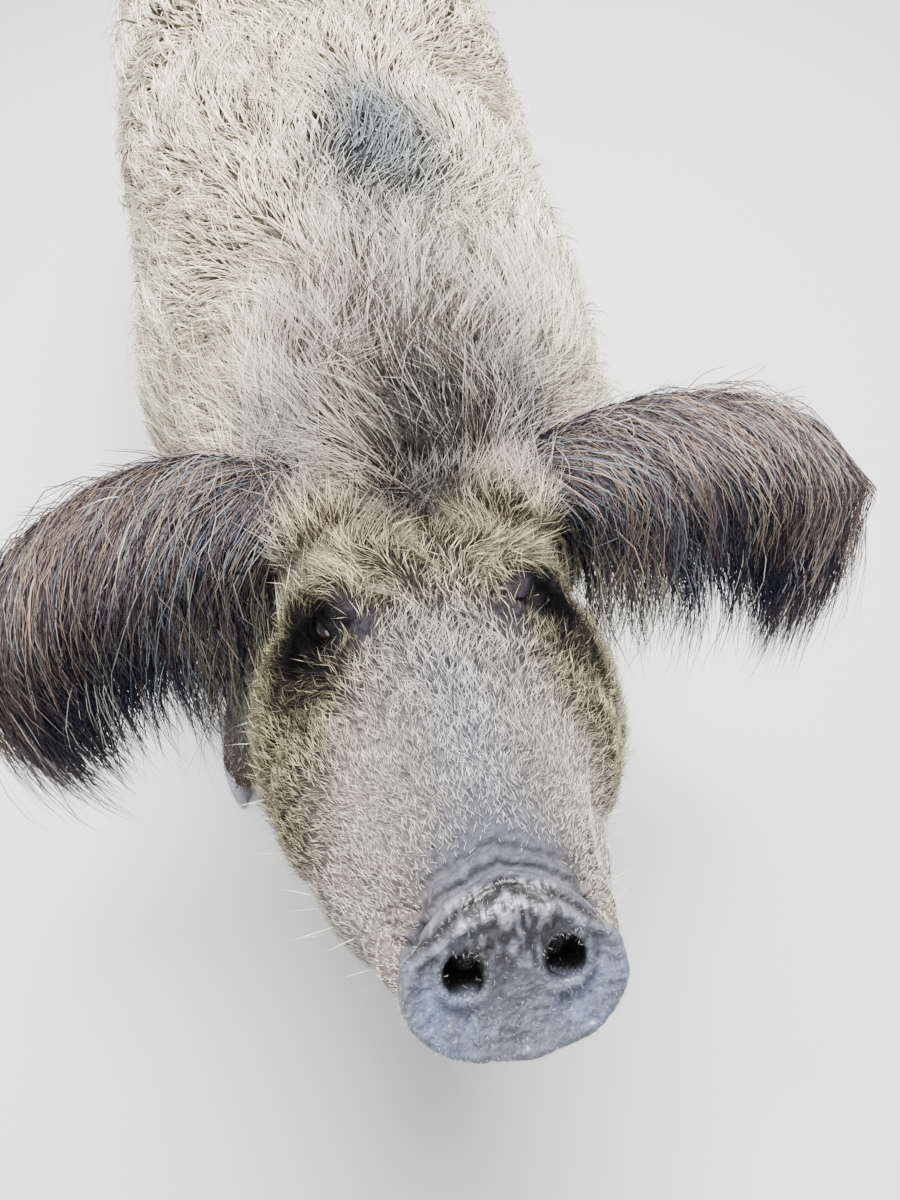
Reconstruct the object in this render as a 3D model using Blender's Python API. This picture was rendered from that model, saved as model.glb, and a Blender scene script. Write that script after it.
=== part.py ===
"""A mangalica pig, life size, standing with its muzzle raised and its lop ears held out to the sides.

Metres, +Z up. The pig faces -Y and its left side is +X. The soles are at z = 0.
Lengths along the body are first measured from the line of the shoulders. At the end everything is moved
so that the origin is on the floor, under the middle of the whole animal.
"""

import math
import random

import bmesh
import bpy
import numpy as np
from mathutils import Matrix, Vector
from mathutils.bvhtree import BVHTree

# Gap that keeps neighbouring nodes apart
GAP = 0.0003

# Depth of the close core of the coat outside the skin, and of the short hair
BODY_COAT = 0.010
FACE_COAT = 0.004
LEG_COAT = 0.004

# The trunk from the rump to the nape: length position, height of the widest level,
# half width, rise to the back, drop to the belly. All are measured to the skin.
TRUNK = (
    (0.862, 0.490, 0.030, 0.026, 0.040),
    (0.845, 0.485, 0.084, 0.066, 0.115),
    (0.800, 0.472, 0.132, 0.122, 0.160),
    (0.720, 0.455, 0.166, 0.178, 0.170),
    (0.600, 0.445, 0.184, 0.222, 0.168),
    (0.420, 0.435, 0.196, 0.256, 0.166),
    (0.220, 0.430, 0.199, 0.266, 0.163),
    (0.050, 0.430, 0.190, 0.254, 0.152),
    (-0.080, 0.440, 0.183, 0.228, 0.142),
    (-0.160, 0.455, 0.165, 0.192, 0.134),
    (-0.225, 0.470, 0.137, 0.146, 0.124),
    (-0.285, 0.480, 0.105, 0.098, 0.112),
    (-0.330, 0.485, 0.052, 0.054, 0.070),
)
TRUNK_SQUARENESS = 2.25
# The neck is bent a little to the pig's left: how far, where along the body, and over what reach
NECK_SWAY = (0.012, -0.200, 0.140)

# The head has its own axis, from the middle of the snout disc back to the nape.
SNOUT_AT = Vector((-0.012, -0.570, 0.653))
HEAD_PITCH = math.radians(30.0)
HEAD_YAW = math.radians(1.8)
# Distance behind the disc, half width, rise to the bridge or poll, drop to the jaw
SKULL = (
    (0.004, 0.042, 0.026, 0.030),
    (0.020, 0.047, 0.030, 0.038),
    (0.055, 0.058, 0.037, 0.050),
    (0.100, 0.073, 0.045, 0.066),
    (0.150, 0.090, 0.054, 0.082),
    (0.200, 0.098, 0.068, 0.098),
    (0.250, 0.098, 0.085, 0.112),
    (0.300, 0.094, 0.093, 0.116),
    (0.350, 0.082, 0.082, 0.104),
    (0.400, 0.050, 0.050, 0.060),
)
SKULL_SQUARENESS = 2.2

# Rounded masses on the head: distance behind the disc, sideways, up, and their three half sizes
JOWL = ((0.235, 0.068, -0.040), (0.095, 0.050, 0.078))
BROW = ((0.240, 0.047, 0.060), (0.040, 0.023, 0.016))
CHEEK = ((0.165, 0.070, -0.018), (0.070, 0.030, 0.050))
UPPER_LIP = ((0.075, 0.040, -0.022), (0.070, 0.025, 0.030))
MUZZLE_SIDE = ((0.115, 0.050, -0.034), (0.072, 0.032, 0.042))
EAR_BASE = ((0.306, 0.058, 0.068), (0.034, 0.036, 0.034))
CHIN = ((0.110, 0.000, -0.060), (0.088, 0.058, 0.034))
COLLAR = (0.0490, 0.0370, 0.020)
SHOULDER = ((0.125, 0.000, 0.410), (0.075, 0.110, 0.170))
HAM = ((0.100, 0.700, 0.420), (0.090, 0.120, 0.165))
GROIN = ((0.000, 0.705, 0.385), (0.100, 0.135, 0.115))
BRISKET = ((0.000, 0.010, 0.390), (0.110, 0.130, 0.115))

EYE_AT = (0.214, 0.060, 0.052)
EYE_RADIUS = 0.0125
LID_THICKNESS = 0.0032
LID_OPENING = (0.0118, 0.0062)

# One half of the disc's outline, from its domed top round the wide lobes to its lower edge
DISC_OUTLINE = (
    (0.0000, 0.0345),
    (0.0210, 0.0275),
    (0.0330, 0.0185),
    (0.0410, 0.0125),
    (0.0490, 0.0065),
    (0.0520, -0.0060),
    (0.0500, -0.0200),
    (0.0400, -0.0340),
    (0.0220, -0.0430),
    (0.0000, -0.0460),
)
DISC_LOWERED = 0.006
# The plain oval of the folds behind the disc: half width, rise and drop from its lowered middle
DISC_FOLDS = (0.0500, 0.0500, 0.0385)
DISC_THICKNESS = 0.024
DISC_TILT = math.radians(24.0)
NOSTRIL_SIDE = 0.0225
NOSTRIL_RADIUS = 0.0078
NOSTRIL_DEPTH = 0.017

# The mouth line on each side: distance behind the disc and height on the head's axis
MOUTH_LINE = ((0.030, -0.041), (0.060, -0.050), (0.095, -0.053), (0.130, -0.047), (0.155, -0.036))
MOUTH_DEPTH = 0.008
MOUTH_HEIGHT = 0.0026

EAR_HALF_WIDTH = 0.056
EAR_CUP = 0.026
EAR_THICKNESS = 0.007
EAR_ROOT_THICKNESS = 0.030
# For each ear: its root on the head's axis, its length, the direction along it, the direction across it
# from its rear edge to its front edge, and how far its tip hangs
EARS = {
    "left": ((0.304, 0.080, 0.085), 0.262, Vector((1.0, -0.03, 0.10)), Vector((0.0, -0.66, -0.75)), 0.055),
    "right": ((0.312, 0.070, 0.090), 0.250, Vector((-0.97, -0.15, 0.11)), Vector((0.0, -0.62, -0.78)), 0.100),
}

# Locks: share of the length, share of the width, height of the middle over the core, half thickness
LOCK_PROFILE = (
    (0.00, 0.55, -0.009, 0.0040),
    (0.26, 1.00, 0.0055, 0.0070),
    (0.62, 0.70, 0.0130, 0.0045),
    (1.00, 0.00, 0.0170, 0.0000),
)
ROW_SPACING = 0.112
ARC_SPACING = 0.122
BODY_LOCK = (0.165, 0.050)
NECK_LOCK = (0.125, 0.040)
POLL_LOCK = (0.100, 0.027)
CHEEK_LOCK = (0.070, 0.020)
LOCK_SPREAD = 0.20
LOCK_LOWEST = 0.275
POLL_LIFT = 0.6
POLL_ROWS = ((0.232, (-0.020, 0.020)), (0.265, (-0.042, 0.000, 0.042)))
FIRST_ROW = -0.205
LAST_ROW = 0.800
RUMP_ROWS = ((0.515, (-0.075, 0.075)), (0.440, (-0.120, -0.040, 0.040, 0.120)), (0.365, (-0.085, 0.085)))
CHEEK_ROWS = ((0.235, -0.020), (0.250, -0.065))

# Ear locks: how many, half width, half thickness, and reach beyond the front edge and the tip
EAR_LOCKS = 6
EAR_TIP_LOCKS = 1
EAR_LOCK_HALF_WIDTH = 0.021
EAR_LOCK_THICKNESS = 0.0034
EAR_LOCK_REACH = 0.078
TASSEL_LOCKS = 5
TASSEL_LENGTH = 0.085
# Share of the tassel's length, distance out from the tail, share of the width, half thickness
TASSEL_PROFILE = ((0.0, -0.001, 0.7, 0.0030), (0.35, 0.006, 1.0, 0.0034), (0.7, 0.008, 0.7, 0.0022))

# Each leg from the body to the pastern: point, sideways radius, fore-and-aft radius
FRONT_LEG = (
    ((0.095, 0.010, 0.430), 0.070, 0.105),
    ((0.112, -0.005, 0.330), 0.056, 0.075),
    ((0.122, -0.006, 0.250), 0.042, 0.050),
    ((0.126, -0.014, 0.175), 0.034, 0.037),
    ((0.126, -0.010, 0.115), 0.026, 0.028),
    ((0.128, -0.016, 0.070), 0.030, 0.034),
    ((0.130, -0.026, 0.036), 0.033, 0.038),
)
HIND_LEG = (
    ((0.090, 0.690, 0.450), 0.085, 0.140),
    ((0.108, 0.655, 0.350), 0.074, 0.120),
    ((0.122, 0.690, 0.270), 0.050, 0.070),
    ((0.128, 0.735, 0.205), 0.033, 0.043),
    ((0.128, 0.715, 0.130), 0.026, 0.030),
    ((0.129, 0.700, 0.072), 0.030, 0.036),
    ((0.130, 0.688, 0.036), 0.033, 0.039),
)
# How far each foot is set off from the plain stance, sideways towards its own side, and along the body
STANCE = {
    "front_left": (FRONT_LEG, 1, 0.000, -0.050),
    "front_right": (FRONT_LEG, -1, 0.060, -0.185),
    "hind_left": (HIND_LEG, 1, 0.000, -0.040),
    "hind_right": (HIND_LEG, -1, 0.005, 0.015),
}
LEG_CUT = 0.230
BODY_MIDDLE = 0.35
HIP_HEIGHT = 0.45

CORONET = 0.0450
CLAW_SPREAD = 0.0168
CLAW_HALF_WIDTH = 0.0155
CLAW_TOE = 0.040
CLAW_HEEL = 0.026
DEWCLAW_HEIGHT = 0.078
DEWCLAW_SIZE = 0.011

TAIL = (
    ((0.000, 0.790, 0.545), 0.024),
    ((0.000, 0.850, 0.548), 0.020),
    ((0.004, 0.893, 0.532), 0.016),
    ((0.010, 0.914, 0.485), 0.0135),
    ((0.014, 0.916, 0.425), 0.0115),
    ((0.012, 0.910, 0.365), 0.0095),
    ((0.006, 0.908, 0.315), 0.0070),
)
TAIL_CUT = 0.8885

COARSE_VOXEL = 0.009
HEAD_VOXEL = 0.0055
BODY_TRIANGLES = 2300
HEAD_TRIANGLES = 2100

FLESH = (0.62, 0.56, 0.45)
COAT_PALE = (0.66, 0.60, 0.47)
EAR_DARK = (0.16, 0.13, 0.12)
SNOUT_GREY = (0.27, 0.26, 0.27)
HORN_GREY = (0.30, 0.30, 0.33)
EYE_DARK = (0.02, 0.015, 0.012)


def clear_scene():
    for old in list(bpy.data.objects):
        bpy.data.objects.remove(old, do_unlink=True)


def material(name, colour, roughness):
    made = bpy.data.materials.new(name)
    made.use_nodes = True
    shader = made.node_tree.nodes["Principled BSDF"]
    shader.inputs["Base Color"].default_value = (*colour, 1.0)
    shader.inputs["Roughness"].default_value = roughness
    return made


def new_object(name, mesh, look=None):
    obj = bpy.data.objects.new(name, mesh)
    bpy.context.scene.collection.objects.link(obj)
    if look:
        mesh.materials.clear()
        mesh.materials.append(look)
    return obj


def mesh_of(name, points, faces):
    mesh = bpy.data.meshes.new(name)
    mesh.from_pydata([tuple(p) for p in points], [], faces)
    mesh.update()
    return mesh


def curve_through(rows, count):
    """Rows of numbers read off a smooth curve through the given rows, which it passes one after the other."""
    table = np.array(rows, float)
    last = len(table) - 1
    read = []
    for t in np.linspace(0.0, last, count):
        i = min(int(t), last - 1)
        u = t - i
        before, here, there, after = (table[min(max(i + k, 0), last)] for k in (-1, 0, 1, 2))
        read.append(
            here
            + 0.5 * u * (there - before)
            + u * u * (before - 2.5 * here + 2.0 * there - 0.5 * after)
            + u * u * u * (1.5 * (here - there) + 0.5 * (after - before))
        )
    return read


def oval(centre, side, up, half_side, rise, drop, squareness, count):
    """A closed ring whose upper and lower halves have their own heights."""
    ring = []
    for k in range(count):
        angle = 2.0 * math.pi * k / count
        c, s = math.cos(angle), math.sin(angle)
        across = math.copysign(abs(c) ** (2.0 / squareness), c) * half_side
        high = math.copysign(abs(s) ** (2.0 / squareness), s) * (rise if s > 0 else drop)
        ring.append(Vector(centre) + Vector(side) * across + Vector(up) * high)
    return ring


def loft(name, rings):
    """A closed body through rings that run anticlockwise, seen from where the body goes to."""
    count = len(rings[0])
    points = [p for ring in rings for p in ring]
    faces = []
    for r in range(len(rings) - 1):
        for k in range(count):
            a, b = r * count + k, r * count + (k + 1) % count
            faces.append((a, b, b + count, a + count))
    faces.append(tuple(reversed(range(count))))
    faces.append(tuple((len(rings) - 1) * count + k for k in range(count)))
    mesh = mesh_of(name, points, faces)
    face_out(mesh)
    return mesh


def face_out(mesh):
    """Triangulates the mesh and turns its faces outwards."""
    work = bmesh.new()
    work.from_mesh(mesh)
    bmesh.ops.triangulate(work, faces=[f for f in work.faces if len(f.verts) > 3])
    bmesh.ops.recalc_face_normals(work, faces=work.faces)
    work.to_mesh(mesh)
    work.free()


def ellipsoid(name, centre, axes, half_sizes, rings=8, sides=14):
    """Axes are three unit vectors, one for each half size."""
    work = bmesh.new()
    bmesh.ops.create_uvsphere(work, u_segments=sides, v_segments=rings, radius=1.0)
    turn = Matrix((axes[0], axes[1], axes[2])).transposed().to_4x4()
    stretch = Matrix.Diagonal((*half_sizes, 1.0))
    bmesh.ops.transform(work, matrix=Matrix.Translation(centre) @ turn @ stretch, verts=work.verts)
    mesh = bpy.data.meshes.new(name)
    work.to_mesh(mesh)
    work.free()
    face_out(mesh)
    return mesh


def joined(name, meshes):
    work = bmesh.new()
    for mesh in meshes:
        work.from_mesh(mesh)
    made = bpy.data.meshes.new(name)
    work.to_mesh(made)
    work.free()
    return made


def evaluated(obj):
    """The object's mesh with its modifiers applied. The object goes."""
    bpy.context.view_layer.update()
    graph = bpy.context.evaluated_depsgraph_get()
    mesh = bpy.data.meshes.new_from_object(obj.evaluated_get(graph))
    bpy.data.objects.remove(obj, do_unlink=True)
    return mesh


def fused(name, meshes, voxel, smoothing, triangles):
    """Overlapping closed bodies melted into one skin of about so many triangles."""
    obj = new_object(name, joined(name, meshes))
    melt = obj.modifiers.new("melt", "REMESH")
    melt.mode = "VOXEL"
    melt.voxel_size = voxel
    soften = obj.modifiers.new("soften", "SMOOTH")
    soften.factor = 0.5
    soften.iterations = smoothing
    mesh = evaluated(obj)
    obj = new_object(name, mesh)
    thin = obj.modifiers.new("thin", "DECIMATE")
    thin.ratio = min(1.0, triangles / (2.0 * len(mesh.polygons)))
    thin.use_collapse_triangulate = True
    return evaluated(obj)


def largest(mesh):
    """Only the largest closed surface of a mesh, without loose scraps or sealed hollows."""
    work = bmesh.new()
    work.from_mesh(mesh)
    left = set(work.verts)
    groups = []
    while left:
        front = [left.pop()]
        group = list(front)
        while front:
            vert = front.pop()
            for edge in vert.link_edges:
                other = edge.other_vert(vert)
                if other in left:
                    left.discard(other)
                    front.append(other)
                    group.append(other)
        groups.append(group)
    groups.sort(key=len)
    for group in groups[:-1]:
        bmesh.ops.delete(work, geom=group, context="VERTS")
    work.to_mesh(mesh)
    work.free()
    return mesh


def cut(mesh, point, normal, gap=0.0):
    """What lies on the side that the normal points away from, closed with a flat face."""
    work = bmesh.new()
    bmesh.ops.create_cube(work, size=4.0)
    way = Vector(normal).normalized()
    turn = way.to_track_quat("Z", "Y").to_matrix().to_4x4()
    place = Matrix.Translation(Vector(point) + way * (2.0 - gap)) @ turn
    bmesh.ops.transform(work, matrix=place, verts=work.verts)
    block = bpy.data.meshes.new("block")
    work.to_mesh(block)
    work.free()
    return boolean(mesh, [block], "DIFFERENCE")


def boolean(mesh, others, operation):
    """The mesh with closed others joined to it or cut from it in one operation."""
    group = bpy.data.collections.new("pieces")
    bpy.context.scene.collection.children.link(group)
    for other in others:
        group.objects.link(bpy.data.objects.new("piece", other))
    for solver in ("MANIFOLD", "EXACT"):
        obj = new_object("base", mesh)
        change = obj.modifiers.new("change", "BOOLEAN")
        change.operation = operation
        change.operand_type = "COLLECTION"
        change.collection = group
        change.solver = solver
        made = evaluated(obj)
        if len(made.polygons) > 3:
            break
    for piece in list(group.objects):
        bpy.data.objects.remove(piece, do_unlink=True)
    bpy.data.collections.remove(group)
    return largest(made)


def grown(mesh, by):
    """A copy of the mesh with its skin moved outwards."""
    made = mesh.copy()
    face_out(made)
    normals = [v.normal.copy() for v in made.vertices]
    for vert, normal in zip(made.vertices, normals):
        vert.co += normal * by
    made.update()
    return made


def box_of(mesh):
    places = np.array([v.co for v in mesh.vertices])
    return places.min(axis=0), places.max(axis=0)


def clear_of(mesh, neighbours):
    """The mesh cut back so that it stays clear of the neighbours that come near it."""
    low, high = box_of(mesh)
    close = []
    for neighbour in neighbours:
        other_low, other_high = box_of(neighbour)
        if (other_low < high + 0.002).all() and (other_high > low - 0.002).all():
            close.append(grown(neighbour, 1.6 * GAP))
    return boolean(mesh, close, "DIFFERENCE") if close else mesh


def surface_tree(mesh):
    return BVHTree.FromPolygons([v.co for v in mesh.vertices], [p.vertices for p in mesh.polygons])


class HeadFrame:
    """Axes of the head: forward along the muzzle, to the pig's left, and up through the poll."""

    forward = Vector(
        (
            -math.sin(HEAD_YAW) * math.cos(HEAD_PITCH),
            -math.cos(HEAD_YAW) * math.cos(HEAD_PITCH),
            math.sin(HEAD_PITCH),
        )
    )
    left = Vector((math.cos(HEAD_YAW), -math.sin(HEAD_YAW), 0.0))
    up = forward.cross(left)

    @classmethod
    def point(cls, back, side, up):
        return SNOUT_AT - cls.forward * back + cls.left * side + cls.up * up

    @classmethod
    def axes(cls):
        return (-cls.forward, cls.left, cls.up)


def sway(y):
    """How far the middle of the trunk is to the pig's left at a place along the body."""
    most, at, reach = NECK_SWAY
    return most * math.exp(-(((y - at) / reach) ** 2))


def trunk_mesh(coat):
    rings = []
    for y, z, half, rise, drop in curve_through(TRUNK, 40):
        centre = (sway(y), y, z)
        sizes = (half + coat, rise + coat, drop + coat)
        rings.append(oval(centre, (1, 0, 0), (0, 0, 1), *sizes, TRUNK_SQUARENESS, 32))
    return loft("trunk", rings)


def skull_mesh(coat):
    rings = []
    for back, half, rise, drop in curve_through(SKULL, 30):
        centre = HeadFrame.point(back, 0, 0)
        sizes = (half + coat, rise + coat, drop + coat)
        rings.append(oval(centre, HeadFrame.left, HeadFrame.up, *sizes, SKULL_SQUARENESS, 28))
    return loft("skull", rings)


def head_masses(coat):
    made = []
    for (back, side, up), sizes in (JOWL, BROW, CHEEK, UPPER_LIP, MUZZLE_SIDE, EAR_BASE):
        for sign in (1, -1):
            centre = HeadFrame.point(back, sign * side, up)
            made.append(ellipsoid("mass", centre, HeadFrame.axes(), [s + coat for s in sizes]))
    (back, side, up), sizes = CHIN
    chin = HeadFrame.point(back, side, up)
    made.append(ellipsoid("chin", chin, HeadFrame.axes(), [s + coat for s in sizes]))
    normal, up = disc_axes()
    wide, high, deep = COLLAR
    collar = disc_back() - normal * 0.004 - up * DISC_LOWERED
    made.append(ellipsoid("collar", collar, (HeadFrame.left, up, normal), (wide, high, deep)))
    return made


def body_masses(coat):
    made = []
    for (x, y, z), sizes in (SHOULDER, HAM, GROIN, BRISKET):
        for sign in (1, -1) if x else (1,):
            axes = (Vector((1, 0, 0)), Vector((0, 1, 0)), Vector((0, 0, 1)))
            centre = Vector((sign * x, y, z))
            made.append(ellipsoid("mass", centre, axes, [s + coat for s in sizes], 12, 20))
    return made


def leg_rows(name):
    """The leg's rows with the foot moved to its stance, more and more below the hip."""
    rows, sign, outwards, along = STANCE[name]
    made = []
    for (x, y, z), across, fore in rows:
        share = min(1.0, max(0.0, (HIP_HEIGHT - z) / (HIP_HEIGHT - CORONET)))
        made.append((sign * (x + outwards * share), y + along * share, z, across, fore))
    return made


def foot_at(name):
    x, y, _, _, _ = leg_rows(name)[-1]
    return x, y


def leg_mesh(name, coat):
    rings = [
        oval((x, y, z), (1, 0, 0), (0, 1, 0), across + coat, fore + coat, fore + coat, 2.0, 18)
        for x, y, z, across, fore in curve_through(leg_rows(name), 22)
    ]
    return loft(name, rings)


def tail_mesh(coat):
    rows = [(*place, radius) for place, radius in TAIL]
    read = curve_through(rows, 20)
    rings = []
    for i, (x, y, z, radius) in enumerate(read):
        ahead = read[min(i + 1, len(read) - 1)]
        behind = read[max(i - 1, 0)]
        along = Vector(ahead[:3]) - Vector(behind[:3])
        side = Vector((1, 0, 0))
        up = along.cross(side).normalized()
        rings.append(oval((x, y, z), side, up, radius + coat, radius + coat, radius + coat, 2.0, 12))
    return loft("tail", rings)


def body_parts(coat):
    parts = [trunk_mesh(coat), *body_masses(coat), skull_mesh(FACE_COAT), *head_masses(FACE_COAT)]
    parts.append(tail_mesh(LEG_COAT))
    parts += [leg_mesh(name, LEG_COAT) for name in STANCE]
    return parts


# Planes that part the body: a point on each, and the direction towards the head
def neck_plane():
    return Vector((0.0, -0.150, 0.640)), Vector((0.0, -0.950, 0.310))


def head_plane():
    return HeadFrame.point(0.312, 0.0, 0.0), HeadFrame.forward


def disc_axes():
    """The disc's outward normal and its up direction, tilted back from the head's axis."""
    normal = HeadFrame.forward * math.cos(DISC_TILT) + HeadFrame.up * math.sin(DISC_TILT)
    up = HeadFrame.up * math.cos(DISC_TILT) - HeadFrame.forward * math.sin(DISC_TILT)
    return normal, up


def disc_back():
    normal, _ = disc_axes()
    return SNOUT_AT - normal * DISC_THICKNESS


def eye_centre(sign):
    back, side, up = EYE_AT
    return HeadFrame.point(back, sign * side, up)


def eye_axes(sign):
    """Along the slit, across it, and out of the head."""
    out = (HeadFrame.left * (0.80 * sign) + HeadFrame.up * 0.42 + HeadFrame.forward * 0.42).normalized()
    along = (HeadFrame.forward - out * HeadFrame.forward.dot(out)).normalized()
    return along, out.cross(along), out


def lid_mesh(sign):
    return ellipsoid("lids", eye_centre(sign), eye_axes(sign), [EYE_RADIUS + LID_THICKNESS] * 3, 10, 14)


def socket_mesh(sign):
    return ellipsoid("socket", eye_centre(sign), eye_axes(sign), [EYE_RADIUS + GAP] * 3, 9, 12)


def slit_mesh(sign):
    along, across, out = eye_axes(sign)
    centre = eye_centre(sign) + out * EYE_RADIUS
    sizes = (LID_OPENING[0], LID_OPENING[1], 0.009)
    return ellipsoid("slit", centre, (along, across, out), sizes, 8, 14)


def mouth_cutter(sign, skin):
    """A thin curved wedge that opens the lips along one side of the muzzle, to one depth below its skin."""
    tree = BVHTree.FromPolygons([v.co for v in skin.vertices], [p.vertices for p in skin.polygons])
    rings = []
    for back, up in curve_through(MOUTH_LINE, 12):
        start = HeadFrame.point(back, sign * 0.2, up)
        hit, _, _, _ = tree.ray_cast(start, HeadFrame.left * -sign)
        surface = 0.2 - (hit - start).length
        inner, outer = surface - MOUTH_DEPTH, surface + 0.010
        high = MOUTH_HEIGHT / 2.0
        rings.append(
            [
                HeadFrame.point(back, sign * inner, up - high * 0.4),
                HeadFrame.point(back, sign * outer, up - high * 2.0),
                HeadFrame.point(back, sign * outer, up + high * 2.0),
                HeadFrame.point(back, sign * inner, up + high * 0.4),
            ]
        )
    return loft("mouth", rings)


def blade(rings, tip):
    """A closed lock through rings of four points to a tip."""
    points = [p for ring in rings for p in ring] + [tip]
    faces = [(3, 2, 1, 0)]
    last = 4 * (len(rings) - 1)
    for a in range(0, last, 4):
        for k in range(4):
            b = (k + 1) % 4
            faces.append((a + k, a + b, a + b + 4, a + k + 4))
    faces += [(last + k, last + (k + 1) % 4, last + 4) for k in range(4)]
    mesh = mesh_of("lock", points, faces)
    face_out(mesh)
    return mesh


def flow_at(point, normal):
    """The lie of the hair: backwards from the poll, away from the line of the back and down the flanks."""
    side = math.copysign(min(1.0, abs(point.x) / 0.12), point.x)
    steep = 0.30 if point.y < -0.1 else 0.42
    lie = Vector((side * 0.35, 1.0, -steep * abs(side)))
    if point.y > 0.70:
        lie += Vector((0.0, 0.0, -1.6 * min(1.0, (point.y - 0.70) / 0.12)))
    return (lie - normal * lie.dot(normal)).normalized()


def lock_mesh(tree, start, size, rng, lie=flow_at, raised=1.0):
    """One flat, tapered lock that is rooted in the core, follows its surface and lifts towards the tip."""
    length = size[0] * rng.uniform(1.0 - LOCK_SPREAD, 1.0 + LOCK_SPREAD)
    half = size[1] * rng.uniform(1.0 - LOCK_SPREAD, 1.0 + LOCK_SPREAD)
    swing = rng.uniform(-0.30, 0.30)
    curl = rng.uniform(-0.45, 0.45)
    lift = raised * rng.uniform(0.75, 1.25)
    place, normal, _, _ = tree.find_nearest(start)
    rings = []
    walked = 0.0
    for share, wide, rise, thick in LOCK_PROFILE:
        for _ in range(3):
            way = Matrix.Rotation(swing + curl * share, 3, normal) @ lie(place, normal)
            step = (share - walked) * length / 3.0
            place, normal, _, _ = tree.find_nearest(place + way * step)
        walked = share
        side = normal.cross(way).normalized()
        height = rise * (lift if rise > 0 else 1.0)
        if wide == 0.0:
            rings.append(place + normal * height)
            continue
        edges = []
        for sign in (1, -1):
            edge, edge_normal, _, _ = tree.find_nearest(place + side * (sign * half * wide))
            edges.append(edge + edge_normal * (height - 0.003))
        over, under = place + normal * (height + thick), place + normal * (height - thick)
        rings.append([edges[0], over, edges[1], under])
    return blade(rings[:-1], rings[-1])


def body_locks(core):
    """Staggered rows of locks round the neck and the trunk."""
    rng = random.Random(7)
    tree = surface_tree(core)
    rows = curve_through(TRUNK, 60)
    made = []
    row = 0
    y = FIRST_ROW
    while y < LAST_ROW:
        zc = np.interp(y, [r[0] for r in rows][::-1], [r[1] for r in rows][::-1])
        reach = np.interp(y, [r[0] for r in rows][::-1], [r[2] + r[3] for r in rows][::-1])
        count = max(5, round(math.pi * reach / ARC_SPACING))
        for k in range(count):
            angle = math.radians(90.0) + 2.0 * math.pi * (k + 0.5 * (row % 2)) / count
            angle += rng.uniform(-0.05, 0.05)
            from_axis = Vector((math.cos(angle), 0.0, math.sin(angle)))
            shifted = y + rng.uniform(-0.015, 0.015)
            hit, _, _, _ = tree.ray_cast(Vector((0.0, shifted, zc)) + from_axis * 0.6, -from_axis)
            if hit is None or hit.z < LOCK_LOWEST:
                continue
            if behind_head(hit) < 0.002:
                continue
            size = NECK_LOCK if y < -0.12 else BODY_LOCK
            made.append(lock_mesh(tree, hit, size, rng))
        y += ROW_SPACING * (0.65 if y < -0.1 else 1.0)
        row += 1
    for z, sides in RUMP_ROWS:
        for x in sides:
            hit, _, _, _ = tree.ray_cast(Vector((x, 1.5, z)), Vector((0, -1, 0)))
            made.append(lock_mesh(tree, hit, NECK_LOCK, rng))
    return made


def behind_head(point):
    """How far a point lies behind the plane that parts the head from the neck."""
    at, way = head_plane()
    return (at - point).dot(way)


def head_lie(point, normal):
    """Hair of the poll and the cheeks lies back along the head and outwards."""
    out = HeadFrame.left * (point - SNOUT_AT).dot(HeadFrame.left)
    lie = -HeadFrame.forward + out * 4.0
    return (lie - normal * lie.dot(normal)).normalized()


def head_locks(core):
    """Locks of the poll, and those of the cheeks below the ears."""
    rng = random.Random(11)
    tree = surface_tree(core)
    made = []
    for back, sides in POLL_ROWS:
        for side in sides:
            start = HeadFrame.point(back, side, 0.12)
            made.append(lock_mesh(tree, start, POLL_LOCK, rng, head_lie, POLL_LIFT))
    for back, up in CHEEK_ROWS:
        for sign in (1, -1):
            start = HeadFrame.point(back, sign * 0.2, up)
            hit, _, _, _ = tree.ray_cast(start, HeadFrame.left * -sign)
            made.append(lock_mesh(tree, hit, CHEEK_LOCK, rng, head_lie))
    return made


def make_head(looks, locks):
    whole = fused("flesh", body_parts(BODY_COAT), HEAD_VOXEL, 6, 40000)
    point, normal = head_plane()
    rough = cut(whole, point - normal * 0.03, -normal)
    obj = new_object("rough", rough)
    thin = obj.modifiers.new("thin", "DECIMATE")
    thin.ratio = HEAD_TRIANGLES / len(rough.polygons)
    head = evaluated(obj)
    bare = cut(head, point, -normal, GAP / 2.0)
    near = [m for m in locks if min(behind_head(v.co) for v in m.vertices) < 0.002]
    head = boolean(head, near, "UNION")
    head = cut(head, point, -normal, GAP / 2.0)
    disc_normal, _ = disc_axes()
    head = cut(head, disc_back(), disc_normal)
    lids = [lid_mesh(1), lid_mesh(-1)]
    head = boolean(head, lids, "UNION")
    sockets = [boolean(socket_mesh(sign), [slit_mesh(sign)], "UNION") for sign in (1, -1)]
    for hole in (*sockets, mouth_cutter(1, head), mouth_cutter(-1, head)):
        head = boolean(head, [hole], "DIFFERENCE")
    new_object("head", head, looks["face"])
    return bare


def make_eyes(looks):
    for name, sign in (("left", 1), ("right", -1)):
        ball = ellipsoid("eye", eye_centre(sign), eye_axes(sign), [EYE_RADIUS] * 3, 9, 12)
        new_object(f"eye_{name}", ball, looks["eye"])


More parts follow.
